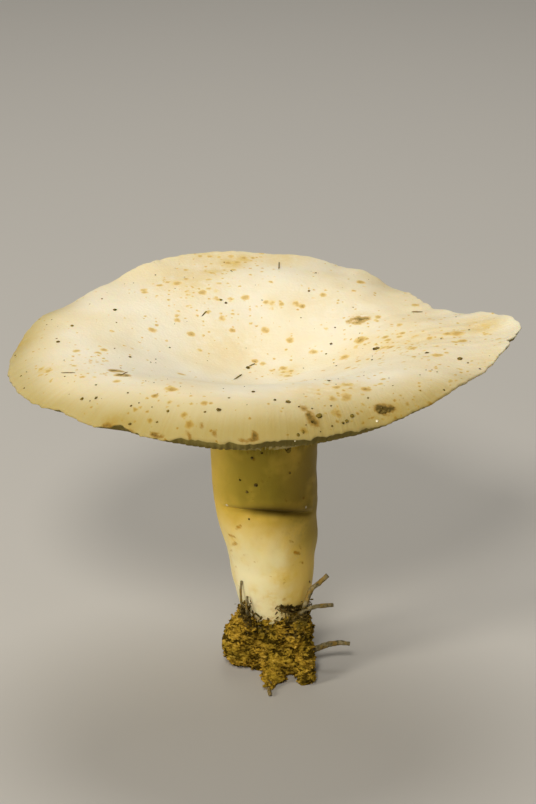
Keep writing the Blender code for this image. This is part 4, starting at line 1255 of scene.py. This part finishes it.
dew_mesh = bmesh.new()
for x, y, width in DEW:
    point, normal = place_in_photo(skin_tree, x, y)
    size = width / PIXELS_PER_MM / 2 * MM
    bead = bmesh.ops.create_icosphere(dew_mesh, subdivisions=3, radius=size)["verts"]
    turn = normal.to_track_quat("Z", "Y")
    for vertex in bead:
        vertex.co = point + turn @ Vector((vertex.co.x, vertex.co.y, vertex.co.z * DEW_HEIGHT))
dew = finish_object(dew_mesh, "dew_beads")
wet, wet_tree, wet_shader = new_finish("dew", 0.15, gloss=0.4)
# Painted highlight: the beads are coloured pale.
cloudiness = grain_of(wet_tree, millimetres(wet_tree), 0.4)
painted_glint_colour = blend_colour(wet_tree, mapped(wet_tree, cloudiness, 0.3, 0.7), DEW_PAINTED_GLINT, DEW_PAINTED_GLINT_YELLOW)
wet_tree.links.new(painted_glint_colour, wet_shader.inputs["Base Color"])
dew.data.materials.append(wet)
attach(dew, "root")


# The stage. A plain pale floor under soft light: a broad one above and a little behind, which the hollow
# of the cap catches, a small one in front that reaches under the cap to the lower stem, and one at the left.
FLOOR_COLOUR = (0.56, 0.54, 0.50)
FLOOR_MOTTLE = (0.5, 0.5, 0.5)
FLOOR_RADIUS = 3.0
SKY_COLOUR = (0.80, 0.80, 0.80)
SKY_STRENGTH = 0.09
LIGHTS = [  # name, where it stands in metres, side in metres, power in watts, colour
    ("above", (0.0, 0.46, 0.90), 0.6, 4.3, (1.0, 0.97, 0.92)),
    ("front", (-0.13, -0.81, 0.77), 0.26, 5.6, (1.0, 0.95, 0.87)),
    ("left", (-0.80, -0.45, 0.46), 0.30, 4.0, (1.0, 0.94, 0.84)),
]

floor_mesh = bmesh.new()
bmesh.ops.create_circle(floor_mesh, cap_ends=True, segments=96, radius=FLOOR_RADIUS)
floor = finish_object(floor_mesh, "floor")
paper, paper_tree, paper_shader = new_finish("floor_paper", 0.9)
paper_grain = grain_of(paper_tree, millimetres(paper_tree), 60, detail=3)
paper_mottle = mapped(paper_tree, paper_grain, 0.3, 0.7, 0.0, 0.04)
paper_colour = blend_colour(paper_tree, paper_mottle, FLOOR_COLOUR, FLOOR_MOTTLE)
paper_tree.links.new(paper_colour, paper_shader.inputs["Base Color"])
floor.data.materials.append(paper)

world = bpy.data.worlds.new("studio")
world.use_nodes = True
world.node_tree.nodes["Background"].inputs["Color"].default_value = (*SKY_COLOUR, 1)
world.node_tree.nodes["Background"].inputs["Strength"].default_value = SKY_STRENGTH
bpy.context.scene.world = world

for name, place, side, power, colour in LIGHTS:
    lamp = bpy.data.lights.new(name, "AREA")
    lamp.shape = "DISK"
    lamp.size = side
    lamp.energy = power
    lamp.color = colour
    light = bpy.data.objects.new(name, lamp)
    light.location = place
    light.rotation_euler = (AIM * MM - Vector(place)).to_track_quat("-Z", "Y").to_euler()
    bpy.context.scene.collection.objects.link(light)
